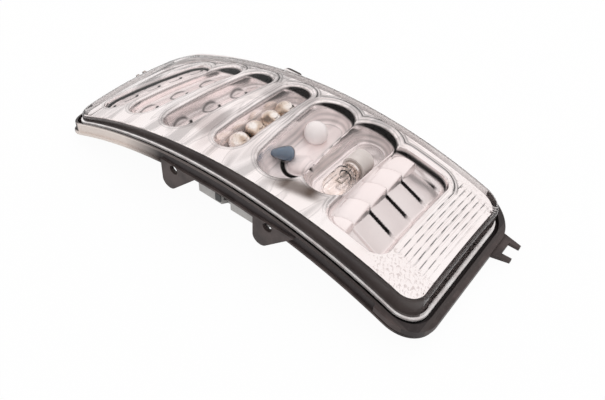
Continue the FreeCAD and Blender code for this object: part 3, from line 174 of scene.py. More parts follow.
def arch_radius(tree, at_x, at_z):
    """Distance from the axis of the bow, which lies along Y far under the lamp."""
    return apart(tree, calc(tree, "ADD", at_x, -ARCH_AXIS.x), calc(tree, "ADD", at_z, -ARCH_AXIS.z))


def bump(tree, shader, height, strength, distance):
    """Relief of a surface from a height."""
    node = tree.nodes.new("ShaderNodeBump")
    node.inputs["Strength"].default_value = strength
    node.inputs["Distance"].default_value = distance
    tree.links.new(height, node.inputs["Height"])
    tree.links.new(node.outputs["Normal"], shader.inputs["Normal"])


def grain(tree, shader, grain_scale, strength):
    """Places the mould grain as relief, and returns the mottling."""
    node = tree.nodes.new("ShaderNodeGroup")
    node.node_tree = GRAIN
    node.inputs["Grain Scale"].default_value = grain_scale
    bump(tree, shader, node.outputs["Grain"], strength, 0.0002)
    return node.outputs["Mottle"]


def faces_up(tree):
    """How far a surface faces up: the Z of its normal."""
    shape = tree.nodes.new("ShaderNodeNewGeometry")
    split = tree.nodes.new("ShaderNodeSeparateXYZ")
    tree.links.new(shape.outputs["Normal"], split.inputs["Vector"])
    return split.outputs["Z"]


def dress(node, material):
    """Gives a node of the frame its material."""
    mesh = nodes[node].data
    mesh.materials.clear()
    mesh.materials.append(material)


housing_plastic, tree, shader = new_material("housing_plastic", roughness=0.48)
shader.inputs["Specular IOR Level"].default_value = 0.25
mottle = grain(tree, shader, 900.0, 0.25)
place, at_x, at_y, at_z = object_place(tree)
span_x = calc(tree, "ABSOLUTE", at_x)
span_y = calc(tree, "ABSOLUTE", at_y)
color = ramp(tree, mottle, [(0.35, HOUSING_DARK), (0.7, HOUSING_WORN)])
upstand = ramp(tree, mottle, [(0.3, UPSTAND_DARK), (0.7, UPSTAND_WORN)])
behind_lens = both(tree, below(tree, span_y, UPSTAND_Y), below(tree, span_x, UPSTAND_X))
color = mix_color(tree, behind_lens, color, upstand)
on_rim = either(tree, above(tree, span_y, RIM_Y), above(tree, span_x, RIM_X))
# Painted highlight: the rim's upward faces are pale at the left end and darken to the right.
on_lip = both(tree, on_rim, above(tree, faces_up(tree), 0.5))
color = mix_color(tree, on_lip, color, ramp(tree, calc(tree, "ADD", at_x, -RIM_LEFT_X), LIP_HIGHLIGHT_FADE))
on_shelf = either(tree, above(tree, span_y, SHELF_Y), above(tree, at_x, SHELF_X))
color = mix_color(tree, on_shelf, color, ramp(tree, mottle, [(0.4, SHELF_DARK), (0.62, SHELF_WORN)]))
# Painted highlight: a cream line along the near lip, fading in towards the left.
to_left = both(tree, calc(tree, "ADD", at_x, -NEAR_LIP_END_X), -NEAR_LIP_FADE)
to_left = calc(tree, "MINIMUM", either(tree, to_left, 0.0), 1.0)
near_lip_highlight = both(tree, below(tree, at_y, NEAR_LIP_Y), to_left)
color = mix_color(tree, near_lip_highlight, color, NEAR_LIP_HIGHLIGHT)
# Painted highlight: a pale line on the top of the lip along the far side and round the left end.
far_lip = both(tree, above(tree, at_y, FAR_LIP_NEAR_Y), below(tree, at_y, FAR_LIP_FAR_Y))
far_lip = both(tree, far_lip, below(tree, at_x, FAR_LIP_END_X))
left_lip = both(tree, below(tree, at_x, LEFT_LIP_RIGHT_X), above(tree, at_y, LEFT_LIP_NEAR_Y))
left_lip = both(tree, left_lip, above(tree, at_x, LEFT_LIP_LEFT_X))
on_top = above(tree, arch_radius(tree, at_x, at_z), LIP_RADIUS)
painted_lip_highlight = both(tree, either(tree, far_lip, left_lip), on_top)
tree.links.new(mix_color(tree, painted_lip_highlight, color, PALE_LIP_HIGHLIGHT), shader.inputs["Base Color"])
dress("housing", housing_plastic)

# Face plate and cups: two moulded plastic sheets with a bright vacuum-deposited metal skin. The face plate
# follows the lens, and its round-lipped wells run down into the cups of the reflector, screwed on behind.
# Painted shade of a dark slit between the two sheets, and painted reflections of it, draw the lines round
# the wells.
ARCH_RADIUS = 0.345
LENS_AXIS = Vector((0.01475, 0.0, -0.29272))
CROWN_RADIUS, CROWN_RISE, CROWN_OFFSET = 0.4, 0.0025, 0.010
FACE_DROP = 0.0038
FACE_HALF_LENGTH, FACE_HALF_WIDTH, FACE_CORNER, FACE_CORNER_X = 0.1366, 0.0516, 0.0118, 0.125
FACE_COLUMNS, FACE_ROWS = 620, 250
CUP_START = 0.0017
LIP_WIDTH = 0.0015
# Each well: its middle, length, width, lean of the far end to the right in degrees, and depth.
Well = namedtuple("Well", "x y length width lean depth")
WELLS = [
    Well(-0.1135, 0.003, 0.082, 0.025, 18, 0.0050),
    Well(-0.086, 0.005, 0.088, 0.025, 14, 0.0095),
    Well(-0.053, 0.004, 0.090, 0.025, 7, 0.0120),
    Well(-0.014, 0.004, 0.086, 0.023, 0, 0.0150),
    Well(0.0225, 0.003, 0.088, 0.034, -5, 0.0160),
    Well(0.0525, 0.008, 0.080, 0.034, 0, 0.0150),
]
# Painted reflection marks along each of the first three wells.
MARK_COUNTS = (4, 3, 3)
PIP_WIDTH, PIP_LENGTH, PIP_LEAN = 0.0021, 0.0014, 0.4
CURL_RADIUS, CURL_WIDTH, LOOP_RADIUS, LOOP_WIDTH, RING_STRETCH = 0.0042, 0.0008, 0.0018, 0.0006, 0.55
BOWL_X, BOWL_Y, BOWL_LEFT_X = 0.087, -0.001, 0.0655
BOWL_WIDTH, BOWL_LENGTH, BOWL_CORNER, BOWL_DEPTH = 0.042, 0.084, 0.010, 0.0115
PETAL_X, PETAL_Y, PETAL_PITCH, PETAL_RADIUS, PETAL_RISE = 0.082, 0.004, 0.018, 0.0185, 0.0075
FACET_RISE, FACET_LEAN, FACET_RUN, RISER_RIGHT_X = 0.0026, 0.22, 0.92, 0.102
RISER_NEAR_Y, RISER_FAR_Y = -0.020, 0.0375
FACET_LEFT_X, FACET_RIGHT_X = 0.0815, 0.1035
DISC_X, DISC_Y, DISC_RADIUS, DISC_RISE, PEARL_RADIUS = 0.0275, -0.010, 0.0088, 0.0055, 0.0092
CRESCENT_INNER, CRESCENT_OUTER, CRESCENT_FAR_Y = 0.0098, 0.0135, -0.012
BEAD_OUT, BEAD_WIDTH, BEAD_RISE, BEAD_NEAR_Y, BEAD_FAR_Y = 0.0042, 0.0007, 0.0005, 0.010, 0.0495
FLUTE_LEFT, FLUTE_RIGHT, FLUTE_NEAR, FLUTE_FAR = 0.1095, 0.1335, -0.034, 0.047
FLUTE_PITCH, FLUTE_RISE, DASH_LENGTH = 0.0034, 0.0008, 0.013
PRISM_LEFT_X, PRISM_NEAR_Y, PRISM_FAR_Y = 0.100, -0.030, 0.036
STREAK_END_X = 0.074
# Place and size of a painted brown reflection of the dark upstand, by the near end of the fifth well.
SHADE_X, SHADE_Y, SHADE_LENGTH, SHADE_WIDTH = 0.045, -0.0385, 0.0165, 0.0055
# The painted shade of the slit is bold at the far right end of a well, less so at the first well and the
# bowl.
SLIT_INSIDE, SLIT_WIDTH, SLIT_SOFT, SLIT_LEFT_X, SLIT_LEFT = 0.0002, 0.0010, 0.0005, -0.104, 0.0030
SLIT_BOLD, FIRST_END_X, FIRST_BOLD, BOWL_END_X, BOWL_BOLD = 0.0022, -0.095, 0.0016, 0.068, 0.0010
# Each painted reflection line beyond a far end, and each faint painted reflection contour: how far inside
# the outline, width, strength.
FAR_REFLECTION_LINES = [(-0.0043, 0.0007, 1.0), (-0.0064, 0.0005, 0.7)]
FAR_LINES_Y = 0.012
CONTOUR_SWING, CONTOUR_END_X = 0.0006, 0.070
REFLECTION_CONTOURS = [
    (-0.0015, 0.0005, 0.6),
    (-0.0031, 0.0005, 0.4),
    (0.0036, 0.0005, 0.5),
    (0.0054, 0.0006, 0.5),
    (0.0077, 0.0005, 0.4),
]
FACE_TINT, CUP_TINT = (1.0, 0.955, 0.945), (1.0, 0.915, 0.905)


def crown_face(x, y, drop):
    """Height of the lens face less a drop: a crown of one radius across, swept round the lens axis."""
    crown = CROWN_RISE - (y + CROWN_OFFSET) ** 2 / (2 * CROWN_RADIUS)
    radius = ARCH_RADIUS + crown - drop
    return LENS_AXIS.z + np.sqrt(radius**2 - (x - LENS_AXIS.x) ** 2)


def ease(value):
    """Smooth step from 0 to 1: three squares less two cubes."""
    value = np.clip(value, 0.0, 1.0)
    return value * value * (3 - 2 * value)


def span(value, low, high, soft):
    """1 between two limits, with a smooth step inside each."""
    return ease((value - low) / soft) * ease((high - value) / soft)


def bell(value, middle, width, power=2):
    """Bell curve about a middle; a higher power makes it squarer."""
    return np.exp(-(((value - middle) / width) ** power))


def well_axes(x, y, well):
    """Places along and across a leaning well, from its middle."""
    angle = np.radians(well.lean)
    along = (x - well.x) * np.sin(angle) + (y - well.y) * np.cos(angle)
    across = (x - well.x) * np.cos(angle) - (y - well.y) * np.sin(angle)
    return along, across


def inside_well(x, y, well):
    """Distance inside a slot outline, negative outside: half the width less the distance from its spine."""
    along, across = well_axes(x, y, well)
    past = np.maximum(np.abs(along) - (well.length - well.width) / 2, 0.0)
    return well.width / 2 - np.hypot(across, past)


def inside_bowl(x, y):
    """Distance inside the bowl's round-cornered outline, negative outside it."""
    past_x = np.abs(x - BOWL_X) - (BOWL_WIDTH / 2 - BOWL_CORNER)
    past_y = np.abs(y - BOWL_Y) - (BOWL_LENGTH / 2 - BOWL_CORNER)
    beyond = np.hypot(np.maximum(past_x, 0), np.maximum(past_y, 0))
    return BOWL_CORNER - beyond - np.minimum(np.maximum(past_x, past_y), 0)


def well_depth(inside, width, depth):
    """Depth of a well by the distance inside its outline: a round lip, a steep wall and a hollow floor."""
    wall = np.minimum(0.6 * depth, 0.42 * width)
    hollow = np.clip(inside / (width / 2), 0, 1)
    return depth * (0.85 * ease((inside + LIP_WIDTH) / wall) + 0.15 * hollow)


def petals(x, y):
    """Height of the bowl's overlapping round scales, each rising to its far edge, and of the saw-toothed
    facets beside them; then the facets' risers, to be painted dark as painted shade, and the painted shadow
    that each scale throws past its edge."""
    scales = np.zeros_like(x)
    shade = np.zeros_like(x)
    for number in range(3, -4, -1):
        middle_y = PETAL_Y + PETAL_PITCH * number - PETAL_RADIUS
        within = PETAL_RADIUS - np.hypot(x - PETAL_X, y - middle_y)
        swell = PETAL_RISE * (y - middle_y + PETAL_RADIUS) / (2 * PETAL_RADIUS)
        swell = swell - 0.0008 * np.exp(-within / 0.0012)
        thrown = np.maximum(shade * (within < 0), np.exp(within / 0.0035) * (y > middle_y))
        scales = np.where(within > 0, swell, scales)
        shade = np.where(within > 0, 0, thrown)
    phase = (y - PETAL_Y + FACET_LEAN * (x - PETAL_X)) / PETAL_PITCH
    phase = phase - np.floor(phase)
    slope = 0.6 * (1 - phase / FACET_RUN) ** 2 + 0.4
    back = 0.4 + 0.6 * (phase - FACET_RUN) / (1 - FACET_RUN)
    facets = FACET_RISE * np.where(phase < FACET_RUN, slope, back)
    beside = ease((x - PETAL_X + 0.0005) / 0.001)
    painted_riser_shade = beside * (phase > 0.90) * ease((RISER_RIGHT_X - x) / 0.004)
    painted_riser_shade = painted_riser_shade * (y > RISER_NEAR_Y) * ease((RISER_FAR_Y - y) / 0.002)
    return (1 - beside) * scales + beside * facets, painted_riser_shade, shade * (1 - beside)


def lines_at(inside, lines):
    """Sum of lines round an outline: bell curves on the distance inside it."""
    return sum(strength * bell(inside, place, width) for place, width, strength in lines)


def outline_lines(x, y, nearest):
    """Painted dark lines round the outlines, by the distance inside them: the painted shade of a thin slit,
    bold where the outline faces the far right and at the left side of the first well; two more painted
    reflection lines beyond each far end; and faint painted reflection contours, inside and out, which come
    and go with a product of two sine waves."""
    slope_x = np.gradient(nearest, axis=1) / np.gradient(x, axis=1)
    slope_y = np.gradient(nearest, axis=0) / np.gradient(y, axis=0)
    slope = np.hypot(slope_x, slope_y) + 1e-9
    bold = np.clip((-0.25 * slope_x - 0.97 * slope_y) / slope, 0, 1)
    left = np.clip(slope_x / slope, 0, 1) * ease((SLIT_LEFT_X - x) / 0.004)
    more = np.where(x > BOWL_END_X, BOWL_BOLD, np.where(x < FIRST_END_X, FIRST_BOLD, SLIT_BOLD))
    width = SLIT_WIDTH + more * bold + SLIT_LEFT * left
    slit = span(nearest, SLIT_INSIDE, SLIT_INSIDE + width, SLIT_SOFT)
    slit = slit * np.clip(0.75 + 0.6 * np.maximum(bold, left), 0, 1)
    beyond = lines_at(nearest, FAR_REFLECTION_LINES) * ease((bold - 0.2) / 0.3) * ease((y - FAR_LINES_Y) / 0.012)
    swing = 0.5 + 0.5 * np.sin(190 * y + 70 * x) * np.sin(115 * x - 60 * y + 1.3)
    faint = lines_at(nearest - CONTOUR_SWING * swing, REFLECTION_CONTOURS)
    faint = faint * (0.35 + 0.65 * swing) * ease((CONTOUR_END_X - x) / 0.006)
    return np.maximum.reduce([slit, beyond, faint])


def painted_reflection_marks(x, y, well, count):
    """Painted reflections in a row along a well: dark marks of a slanting pip, a curl round it and a small
    loop, each a bell curve on a stretched distance from its place in the row."""
    along, across = well_axes(x, y, well)
    step = well.length / (count + 0.6)
    place = along - step * np.clip(np.round(along / step), -count // 2, count // 2)
    pip = bell(across, -0.10 * well.width, PIP_WIDTH, 4) * bell(place + PIP_LEAN * across, 0, PIP_LENGTH, 4)
    ring = np.hypot(across + 0.20 * well.width, RING_STRETCH * (place + 0.005))
    curl = bell(ring - 0.10 * place, CURL_RADIUS, CURL_WIDTH) * ease((0.004 - place) / 0.004)
    loop = bell(ring, LOOP_RADIUS, LOOP_WIDTH) * ease((0.002 - across - 0.20 * well.width + place) / 0.003)
    return np.maximum.reduce([pip, 0.8 * curl, 0.6 * loop]) * (inside_well(x, y, well) > 0.003)


def sheet(columns, rows):
    """Grid over the face plate's outline: rows reach across to the edge, which is round at the corners."""
    x = np.linspace(-FACE_HALF_LENGTH, FACE_HALF_LENGTH, columns)[None, :]
    t = np.linspace(-1, 1, rows)[:, None]
    corner = np.maximum(np.abs(x) - FACE_CORNER_X, 0)
    edge = FACE_HALF_WIDTH - FACE_CORNER + np.sqrt(np.maximum(FACE_CORNER**2 - corner**2, 0))
    y = t * edge
    return np.broadcast_to(x, y.shape), y


def grid_faces(rows, columns):
    """Corner numbers of the grid's quads, each turned so that it faces up."""
    number = np.arange(rows * columns).reshape(rows, columns)
    corners = [number[:-1, :-1], number[:-1, 1:], number[1:, 1:], number[1:, :-1]]
    return np.stack(corners, -1).reshape(-1, 4)


def new_mesh(name, points, faces, values=None):
    """Smooth mesh object at the origin from arrays, with named values per point."""
    used, faces = np.unique(faces, return_inverse=True)
    faces = faces.reshape(-1, 4)
    mesh = bpy.data.meshes.new(name)
    mesh.from_pydata(points.reshape(-1, 3)[used], [], faces)
    mesh.polygons.foreach_set("use_smooth", np.ones(len(mesh.polygons), dtype=bool))
    for label, numbers in (values or {}).items():
        layer = mesh.attributes.new(label, "FLOAT", "POINT")
        layer.data.foreach_set("value", np.ravel(numbers)[used].astype(np.float32))
    mesh.update()
    piece = bpy.data.objects.new(name, mesh)
    bpy.context.scene.collection.objects.link(piece)
    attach(piece, "root")
    return piece


x, y = sheet(FACE_COLUMNS, FACE_ROWS)
depth = np.zeros_like(x)
nearest = np.full_like(x, -1.0)
for well in WELLS:
    inside = inside_well(x, y, well)
    depth = np.maximum(depth, well_depth(inside, well.width, well.depth))
    nearest = np.maximum(nearest, inside)
in_fifth = inside_well(x, y, WELLS[4])
in_bowl = inside_bowl(x, y)
scales, painted_riser_shade, shade = petals(x, y)
bowl = ease((in_bowl + LIP_WIDTH) / 0.006) * (BOWL_DEPTH - scales * ease((in_bowl - 0.001) / 0.003))
over_well = ease((x - BOWL_LEFT_X) / 0.002) * (in_bowl > 0)
depth = np.where(over_well > 0, (1 - over_well) * depth + over_well * bowl, np.maximum(depth, bowl))
nearest = np.maximum(nearest, in_bowl)
# A raised disc lies beside the blue bulb, a thin bead runs round the far ends of the wells, and flutes fill
# the strip beside the bowl.
disc = np.hypot(x - DISC_X, y - DISC_Y)
depth = depth - DISC_RISE * np.sqrt(np.clip(1 - (disc / DISC_RADIUS) ** 2, 0, 1))
far_end = ease((y - BEAD_NEAR_Y) / 0.020) * ease((BEAD_FAR_Y - y) / 0.002)
bead = BEAD_RISE * bell(nearest, -BEAD_OUT, BEAD_WIDTH) * far_end
fluted = span(x, FLUTE_LEFT, FLUTE_RIGHT, 0.001) * span(y, FLUTE_NEAR, FLUTE_FAR, 0.004)
flute = (x - FLUTE_LEFT) / FLUTE_PITCH
wave = np.abs(np.sin(np.pi * flute))
z = crown_face(x, y, FACE_DROP) - depth + bead + FLUTE_RISE * fluted * (wave - 1)
points = np.stack([x, y, z], -1)
# Painted shade: dark dashes along the bottoms of the flutes beside the bowl.
dash = 0.25 + 0.75 * ease(np.sin(2 * np.pi * y / DASH_LENGTH + 2.1 * np.floor(flute)) + 0.8)
painted_groove_shade = fluted * ease((0.28 - wave) / 0.1) * dash
# Painted shade: a dark crescent round the near side of the disc, inside the fifth well.
crescent_shade = span(disc, CRESCENT_INNER, CRESCENT_OUTER, 0.0006) * ease((CRESCENT_FAR_Y - y) / 0.004)
crescent_shade = crescent_shade * (in_fifth > 0)
marks = [painted_reflection_marks(x, y, well, count) for well, count in zip(WELLS, MARK_COUNTS)]
dark = np.maximum.reduce([outline_lines(x, y, nearest), painted_riser_shade, painted_groove_shade, crescent_shade, *marks])
# Painted reflection: the facets beside the scales are painted grey, as if they mirrored a darker zone.
facet_grey_reflection = span(x, FACET_LEFT_X, FACET_RIGHT_X, 0.001) * (in_bowl > 0.002)
ends = np.maximum(ease((PRISM_NEAR_Y - y) / 0.006), ease((y - PRISM_FAR_Y) / 0.005))
satin = np.maximum(ease(in_fifth / 0.004), 0.6 * ease(nearest / 0.004))
satin = np.where(in_bowl > 0.001, 0.55, satin)
shade_x = (x - SHADE_X) * 0.97 + (y - SHADE_Y) * 0.25
shade_y = (y - SHADE_Y) * 0.97 - (x - SHADE_X) * 0.25
values = {
    # Painted shade and painted reflections: slit, risers, flute grooves and crescent as shade; lines beyond
    # the far ends, contours and well marks as reflections.
    "dark": np.clip(dark, 0, 1),
    # Painted reflection and painted shadow: grey on the facets, and grey shade past each scale's edge.
    "grey": np.clip(facet_grey_reflection + 0.8 * shade * (x > BOWL_LEFT_X + 0.0005) * ease(in_bowl / 0.004), 0, 1),
    "prism": ease((x - PRISM_LEFT_X) / 0.006) * ends * (in_bowl < -0.001),
    "pearl": ease((PEARL_RADIUS - disc) / 0.0004),
    "satin": satin,
    # Where the painted reflection streaks go: left of the bowl, weaker on the satin.
    "streak": ease((STREAK_END_X - x) / 0.008) * (1 - 0.6 * satin),
    # Painted reflection: the brown of the upstand, mirrored by the face by the fifth well's near end.
    "brown": bell(shade_x, 0, SHADE_LENGTH, 4) * bell(shade_y, 0, SHADE_WIDTH, 4),
}


def drawn_out(tree, place, scale, turn=0.0):
    """Coordinates turned about Z, then scaled, so that a pattern on them is drawn out."""
    node = tree.nodes.new("ShaderNodeMapping")
    node.inputs["Rotation"].default_value = (0.0, 0.0, turn)
    node.inputs["Scale"].default_value = scale
    tree.links.new(place, node.inputs["Vector"])
    return node.outputs["Vector"]


def painted_reflection_streaks():
    """Group: painted reflections from long warped noise; its level lines are thin dark edges, its low parts
    soft grey patches.
    """
    group = bpy.data.node_groups.new("painted_reflection_streaks", "ShaderNodeTree")
    group.interface.new_socket("Lines", in_out="OUTPUT", socket_type="NodeSocketFloat")
    group.interface.new_socket("Patches", in_out="OUTPUT", socket_type="NodeSocketFloat")
    outputs = group.nodes.new("NodeGroupOutput")
    place = group.nodes.new("ShaderNodeTexCoord").outputs["Object"]
    place = drawn_out(group, place, (2.6, 0.55, 1.0), turn=0.14)
    flow = noise(group, place, 34.0, detail=0.5, distortion=0.5).outputs["Fac"]
    level = calc(group, "ABSOLUTE", calc(group, "SUBTRACT", flow, 0.47))
    lines = calc(group, "SUBTRACT", 1.0, calc(group, "DIVIDE", level, 0.03))
    group.links.new(either(group, lines, 0.0), outputs.inputs["Lines"])
    group.links.new(flow, outputs.inputs["Patches"])
    return group


REFLECTION_STREAKS = painted_reflection_streaks()


def bright_metal(name, tint):
    """Metallised plastic: a pale mirror with painted reflections (streaks, grey facets, a brown patch, dark
    lines and marks) and painted shade (grey past the scales, matt black in the slit, on the risers, in the
    flute grooves and in the crescent).
    """
    material, tree, shader = new_material(name, metallic=1.0)
    shader.inputs["Specular IOR Level"].default_value = 0.05
    read = {}
    for label in values:
        node = tree.nodes.new("ShaderNodeAttribute")
        node.attribute_name = label
        read[label] = node.outputs["Fac"]
    place = tree.nodes.new("ShaderNodeTexCoord").outputs["Object"]
    ripple = noise(tree, drawn_out(tree, place, (1.5, 0.45, 1.0)), 45.0, detail=1.5).outputs["Fac"]
    cells = tree.nodes.new("ShaderNodeTexVoronoi")
    cells.inputs["Scale"].default_value = 300.0
    tree.links.new(place, cells.inputs["Vector"])
    height = both(tree, cells.outputs["Distance"], 2.0)
    height = calc(tree, "MULTIPLY_ADD", height, read["prism"], ripple)
    bump(tree, shader, height, 0.4, 0.0012)
    flow = tree.nodes.new("ShaderNodeGroup")
    flow.node_tree = REFLECTION_STREAKS
    # Painted reflections: grey patches and thin dark lines from the streaks.
    low = tuple(0.66 * part for part in tint)
    patches = ramp(tree, flow.outputs["Patches"], [(0.36, low), (0.46, tint), (0.62, tint)])
    color = mix_color(tree, read["streak"], tint, patches)
    lined = both(tree, both(tree, flow.outputs["Lines"], read["streak"]), 0.22)
    color = mix_color(tree, lined, color, (0.10, 0.085, 0.08))
    # Painted reflection and painted shadow: grey on the bowl's facets and past its scales' edges.
    color = mix_color(tree, both(tree, read["grey"], 0.5), color, (0.66, 0.625, 0.62))
    # Painted reflection: the brown of the upstand, with the streaks' patches in it.
    shaded = both(tree, read["brown"], calc(tree, "ADD", flow.outputs["Patches"], 0.35))
    color = mix_color(tree, shaded, color, (0.13, 0.10, 0.085))
    # Painted shade and painted reflections: near black where the dark value is set.
    color = mix_color(tree, read["dark"], color, (0.006, 0.005, 0.005))
    tree.links.new(color, shader.inputs["Base Color"])
    metal = calc(tree, "MULTIPLY_ADD", read["satin"], -0.55, calc(tree, "SUBTRACT", 1.0, read["dark"]))
    tree.links.new(either(tree, metal, 0.0), shader.inputs["Metallic"])
    rough = calc(tree, "MULTIPLY_ADD", ripple, 0.06, 0.02)
    for label, share in (("pearl", 0.35), ("satin", 0.32), ("dark", 0.5)):
        rough = calc(tree, "MULTIPLY_ADD", read[label], share, rough)
    tree.links.new(rough, shader.inputs["Roughness"])
    return material


quads = grid_faces(FACE_ROWS, FACE_COLUMNS)
in_cup = depth.reshape(-1)[quads].mean(axis=1) > CUP_START
face_plate = new_mesh("face_plate", points, quads[~in_cup], values)
face_plate.data.materials.append(bright_metal("face_metal", FACE_TINT))
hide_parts("bezel")
cup_sheet = new_mesh("cup_sheet", points, quads[in_cup], values)
cup_sheet.data.materials.append(bright_metal("cup_metal", CUP_TINT))
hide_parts("reflector")

# Marker board and domes: a brown board with a row of four round resin domes cast on it, in the fourth well.
# Two small screws hold it to the reflector; like the lamp's other screws they are zinc-plated steel.
DOMES = (-0.0205, -0.0050, 0.0105, 0.0260)
DOME_RADIUS, DOME_HEIGHT, DOME_DROP, DOME_RING = 0.0074, 0.0066, 0.0116, 0.00012
DOME_COLUMNS, DOME_ROWS = 49, 25
RESIN = [
    (0.28, (0.16, 0.11, 0.08)),
    (0.38, (0.58, 0.45, 0.35)),
    (0.50, (0.85, 0.75, 0.66)),
    (0.64, (0.99, 0.95, 0.91)),
]


def dome_row(columns, rows):
    """Round domes along the fourth well: a quarter round turned about the upright, with fine rings."""
    turn = np.linspace(0, 2 * np.pi, columns)[None, None, :]
    share = np.linspace(1, 0, rows)[None, :, None]
    middle = np.array(DOMES)[:, None, None]
    x = WELLS[3].x + DOME_RADIUS * share * np.cos(turn) + 0 * middle
    y = middle + DOME_RADIUS * share * np.sin(turn)
    foot = crown_face(WELLS[3].x, middle, FACE_DROP) - DOME_DROP
    z = foot + DOME_HEIGHT * np.sqrt(1 - share**2) + DOME_RING * np.cos(2 * np.pi * share * 3.5)
    return np.stack(np.broadcast_arrays(x, y, z), -1)


board_brown, tree, shader = new_material("board_brown", roughness=0.5)
mottle = grain(tree, shader, 1500.0, 0.15)
color = ramp(tree, mottle, [(0.3, (0.14, 0.085, 0.05)), (0.7, (0.25, 0.17, 0.11))])
tree.links.new(color, shader.inputs["Base Color"])
dress("marker_board", board_brown)
dome_amber, tree, shader = new_material("dome_amber", roughness=0.06, metallic=0.75)
shader.inputs["Coat Weight"].default_value = 0.8
grain(tree, shader, 500.0, 0.1)
place = object_place(tree)[0]
fleck = noise(tree, place, 120.0, detail=0.5, distortion=0.6).outputs["Fac"]
tree.links.new(ramp(tree, fleck, RESIN), shader.inputs["Base Color"])
first_corner = DOME_ROWS * DOME_COLUMNS * np.arange(len(DOMES))[:, None, None]
quads = (grid_faces(DOME_ROWS, DOME_COLUMNS) + first_corner).reshape(-1, 4)
dome_piece = new_mesh("marker_dome_row", dome_row(DOME_COLUMNS, DOME_ROWS), quads)
dome_piece.data.materials.append(dome_amber)
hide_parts("marker_domes")


def turned_metal(name, dark, pale, roughness):
    """Plain metal with faint brushed variation."""
    material, tree, shader = new_material(name, roughness=roughness, metallic=1.0)
    mottle = grain(tree, shader, 1800.0, 0.1)
    tree.links.new(ramp(tree, mottle, [(0.3, dark), (0.7, pale)]), shader.inputs["Base Color"])
    return material


screw_steel = turned_metal("screw_steel", (0.42, 0.42, 0.43), (0.6, 0.6, 0.6), 0.3)
for name in ("board_screws", "reflector_screws", "carrier_screws"):
    dress(name, screw_steel)

# Lens seal: a soft black bead of sealant, laid in the rim's channel while liquid. The foot of the lens is
# pressed into it, and it keeps water out of the lamp.
seal_rubber, tree, shader = new_material("seal_rubber", roughness=0.55)
mottle = grain(tree, shader, 2500.0, 0.2)
color = ramp(tree, mottle, [(0.3, (0.008, 0.008, 0.009)), (0.7, (0.02, 0.019, 0.019))])
tree.links.new(color, shader.inputs["Base Color"])
dress("lens_seal", seal_rubber)

# Lens: clear moulded cover with a crowned face, polished on both sides, pressed into the sealing channel.
# Its face is thin and clear, its near wall shows the dark upstand behind it, and its foot is frosted and
# painted near white as a painted highlight along its edge.
LENS_CORNER_X, LENS_CORNER_Y = 0.125, 0.040
LENS_FACE_REACH, LENS_WALL_REACH, LENS_NEAR_Y = 0.0138, 0.0144, -0.046
LENS_FOOT_RADIUS = ARCH_RADIUS + 0.0001


def mix_shader(tree, factor, first, second):
    """Mix of two shaders."""
    node = tree.nodes.new("ShaderNodeMixShader")
    tree.links.new(factor, node.inputs["Fac"])
    tree.links.new(first, node.inputs[1])
    tree.links.new(second, node.inputs[2])
    return node.outputs["Shader"]


def light_passes(tree, shader):
    """Lets lamp and sky light through a clear piece, so that what lies behind it is lit."""
    way = tree.nodes.new("ShaderNodeLightPath")
    through = either(tree, way.outputs["Is Shadow Ray"], way.outputs["Is Diffuse Ray"])
    clear = tree.nodes.new("ShaderNodeBsdfTransparent")
    passed = mix_shader(tree, through, shader, clear.outputs["BSDF"])
    tree.links.new(passed, tree.nodes["Material Output"].inputs["Surface"])


lens_clear, tree, shader = new_material("lens_clear", roughness=0.0)
shader.inputs["Transmission Weight"].default_value = 1.0
shader.inputs["IOR"].default_value = 1.46
shader.inputs["Specular IOR Level"].default_value = 0.03
place, at_x, at_y, at_z = object_place(tree)
flow = noise(tree, place, 22.0).outputs["Fac"]
color = ramp(tree, flow, [(0.3, (0.985, 0.97, 0.968)), (0.7, (1.0, 0.995, 0.995))])
tree.links.new(color, shader.inputs["Base Color"])
past_x = calc(tree, "SUBTRACT", calc(tree, "ABSOLUTE", at_x), LENS_CORNER_X)
past_y = calc(tree, "SUBTRACT", calc(tree, "ABSOLUTE", at_y), LENS_CORNER_Y)
reach = apart(tree, either(tree, past_x, 0.0), either(tree, past_y, 0.0))
thin = tree.nodes.new("ShaderNodeBsdfTransparent")
color = ramp(tree, flow, [(0.3, (0.985, 0.972, 0.970)), (0.7, (1.0, 0.996, 0.996))])
tree.links.new(color, thin.inputs["Color"])
polish = tree.nodes.new("ShaderNodeBsdfGlossy")
polish.inputs["Roughness"].default_value = 0.02
glance = tree.nodes.new("ShaderNodeLayerWeight")
glance.inputs["Blend"].default_value = 0.12
side = tree.nodes.new("ShaderNodeNewGeometry")
outer_side = calc(tree, "SUBTRACT", 1.0, side.outputs["Backfacing"])
glint = both(tree, glance.outputs["Fresnel"], outer_side)
skin = mix_shader(tree, glint, thin.outputs["BSDF"], polish.outputs["BSDF"])
cover = mix_shader(tree, below(tree, reach, LENS_FACE_REACH), shader.outputs["BSDF"], skin)
backing = tree.nodes.new("ShaderNodeBsdfPrincipled")
backing.inputs["Roughness"].default_value = 0.3
backing.inputs["Specular IOR Level"].default_value = 0.2
color = ramp(tree, flow, [(0.35, (0.050, 0.040, 0.039)), (0.65, (0.075, 0.061, 0.058))])
tree.links.new(color, backing.inputs["Base Color"])
near_wall = both(tree, above(tree, reach, LENS_WALL_REACH), below(tree, at_y, LENS_NEAR_Y))
cover = mix_shader(tree, both(tree, near_wall, 0.9), cover, backing.outputs["BSDF"])
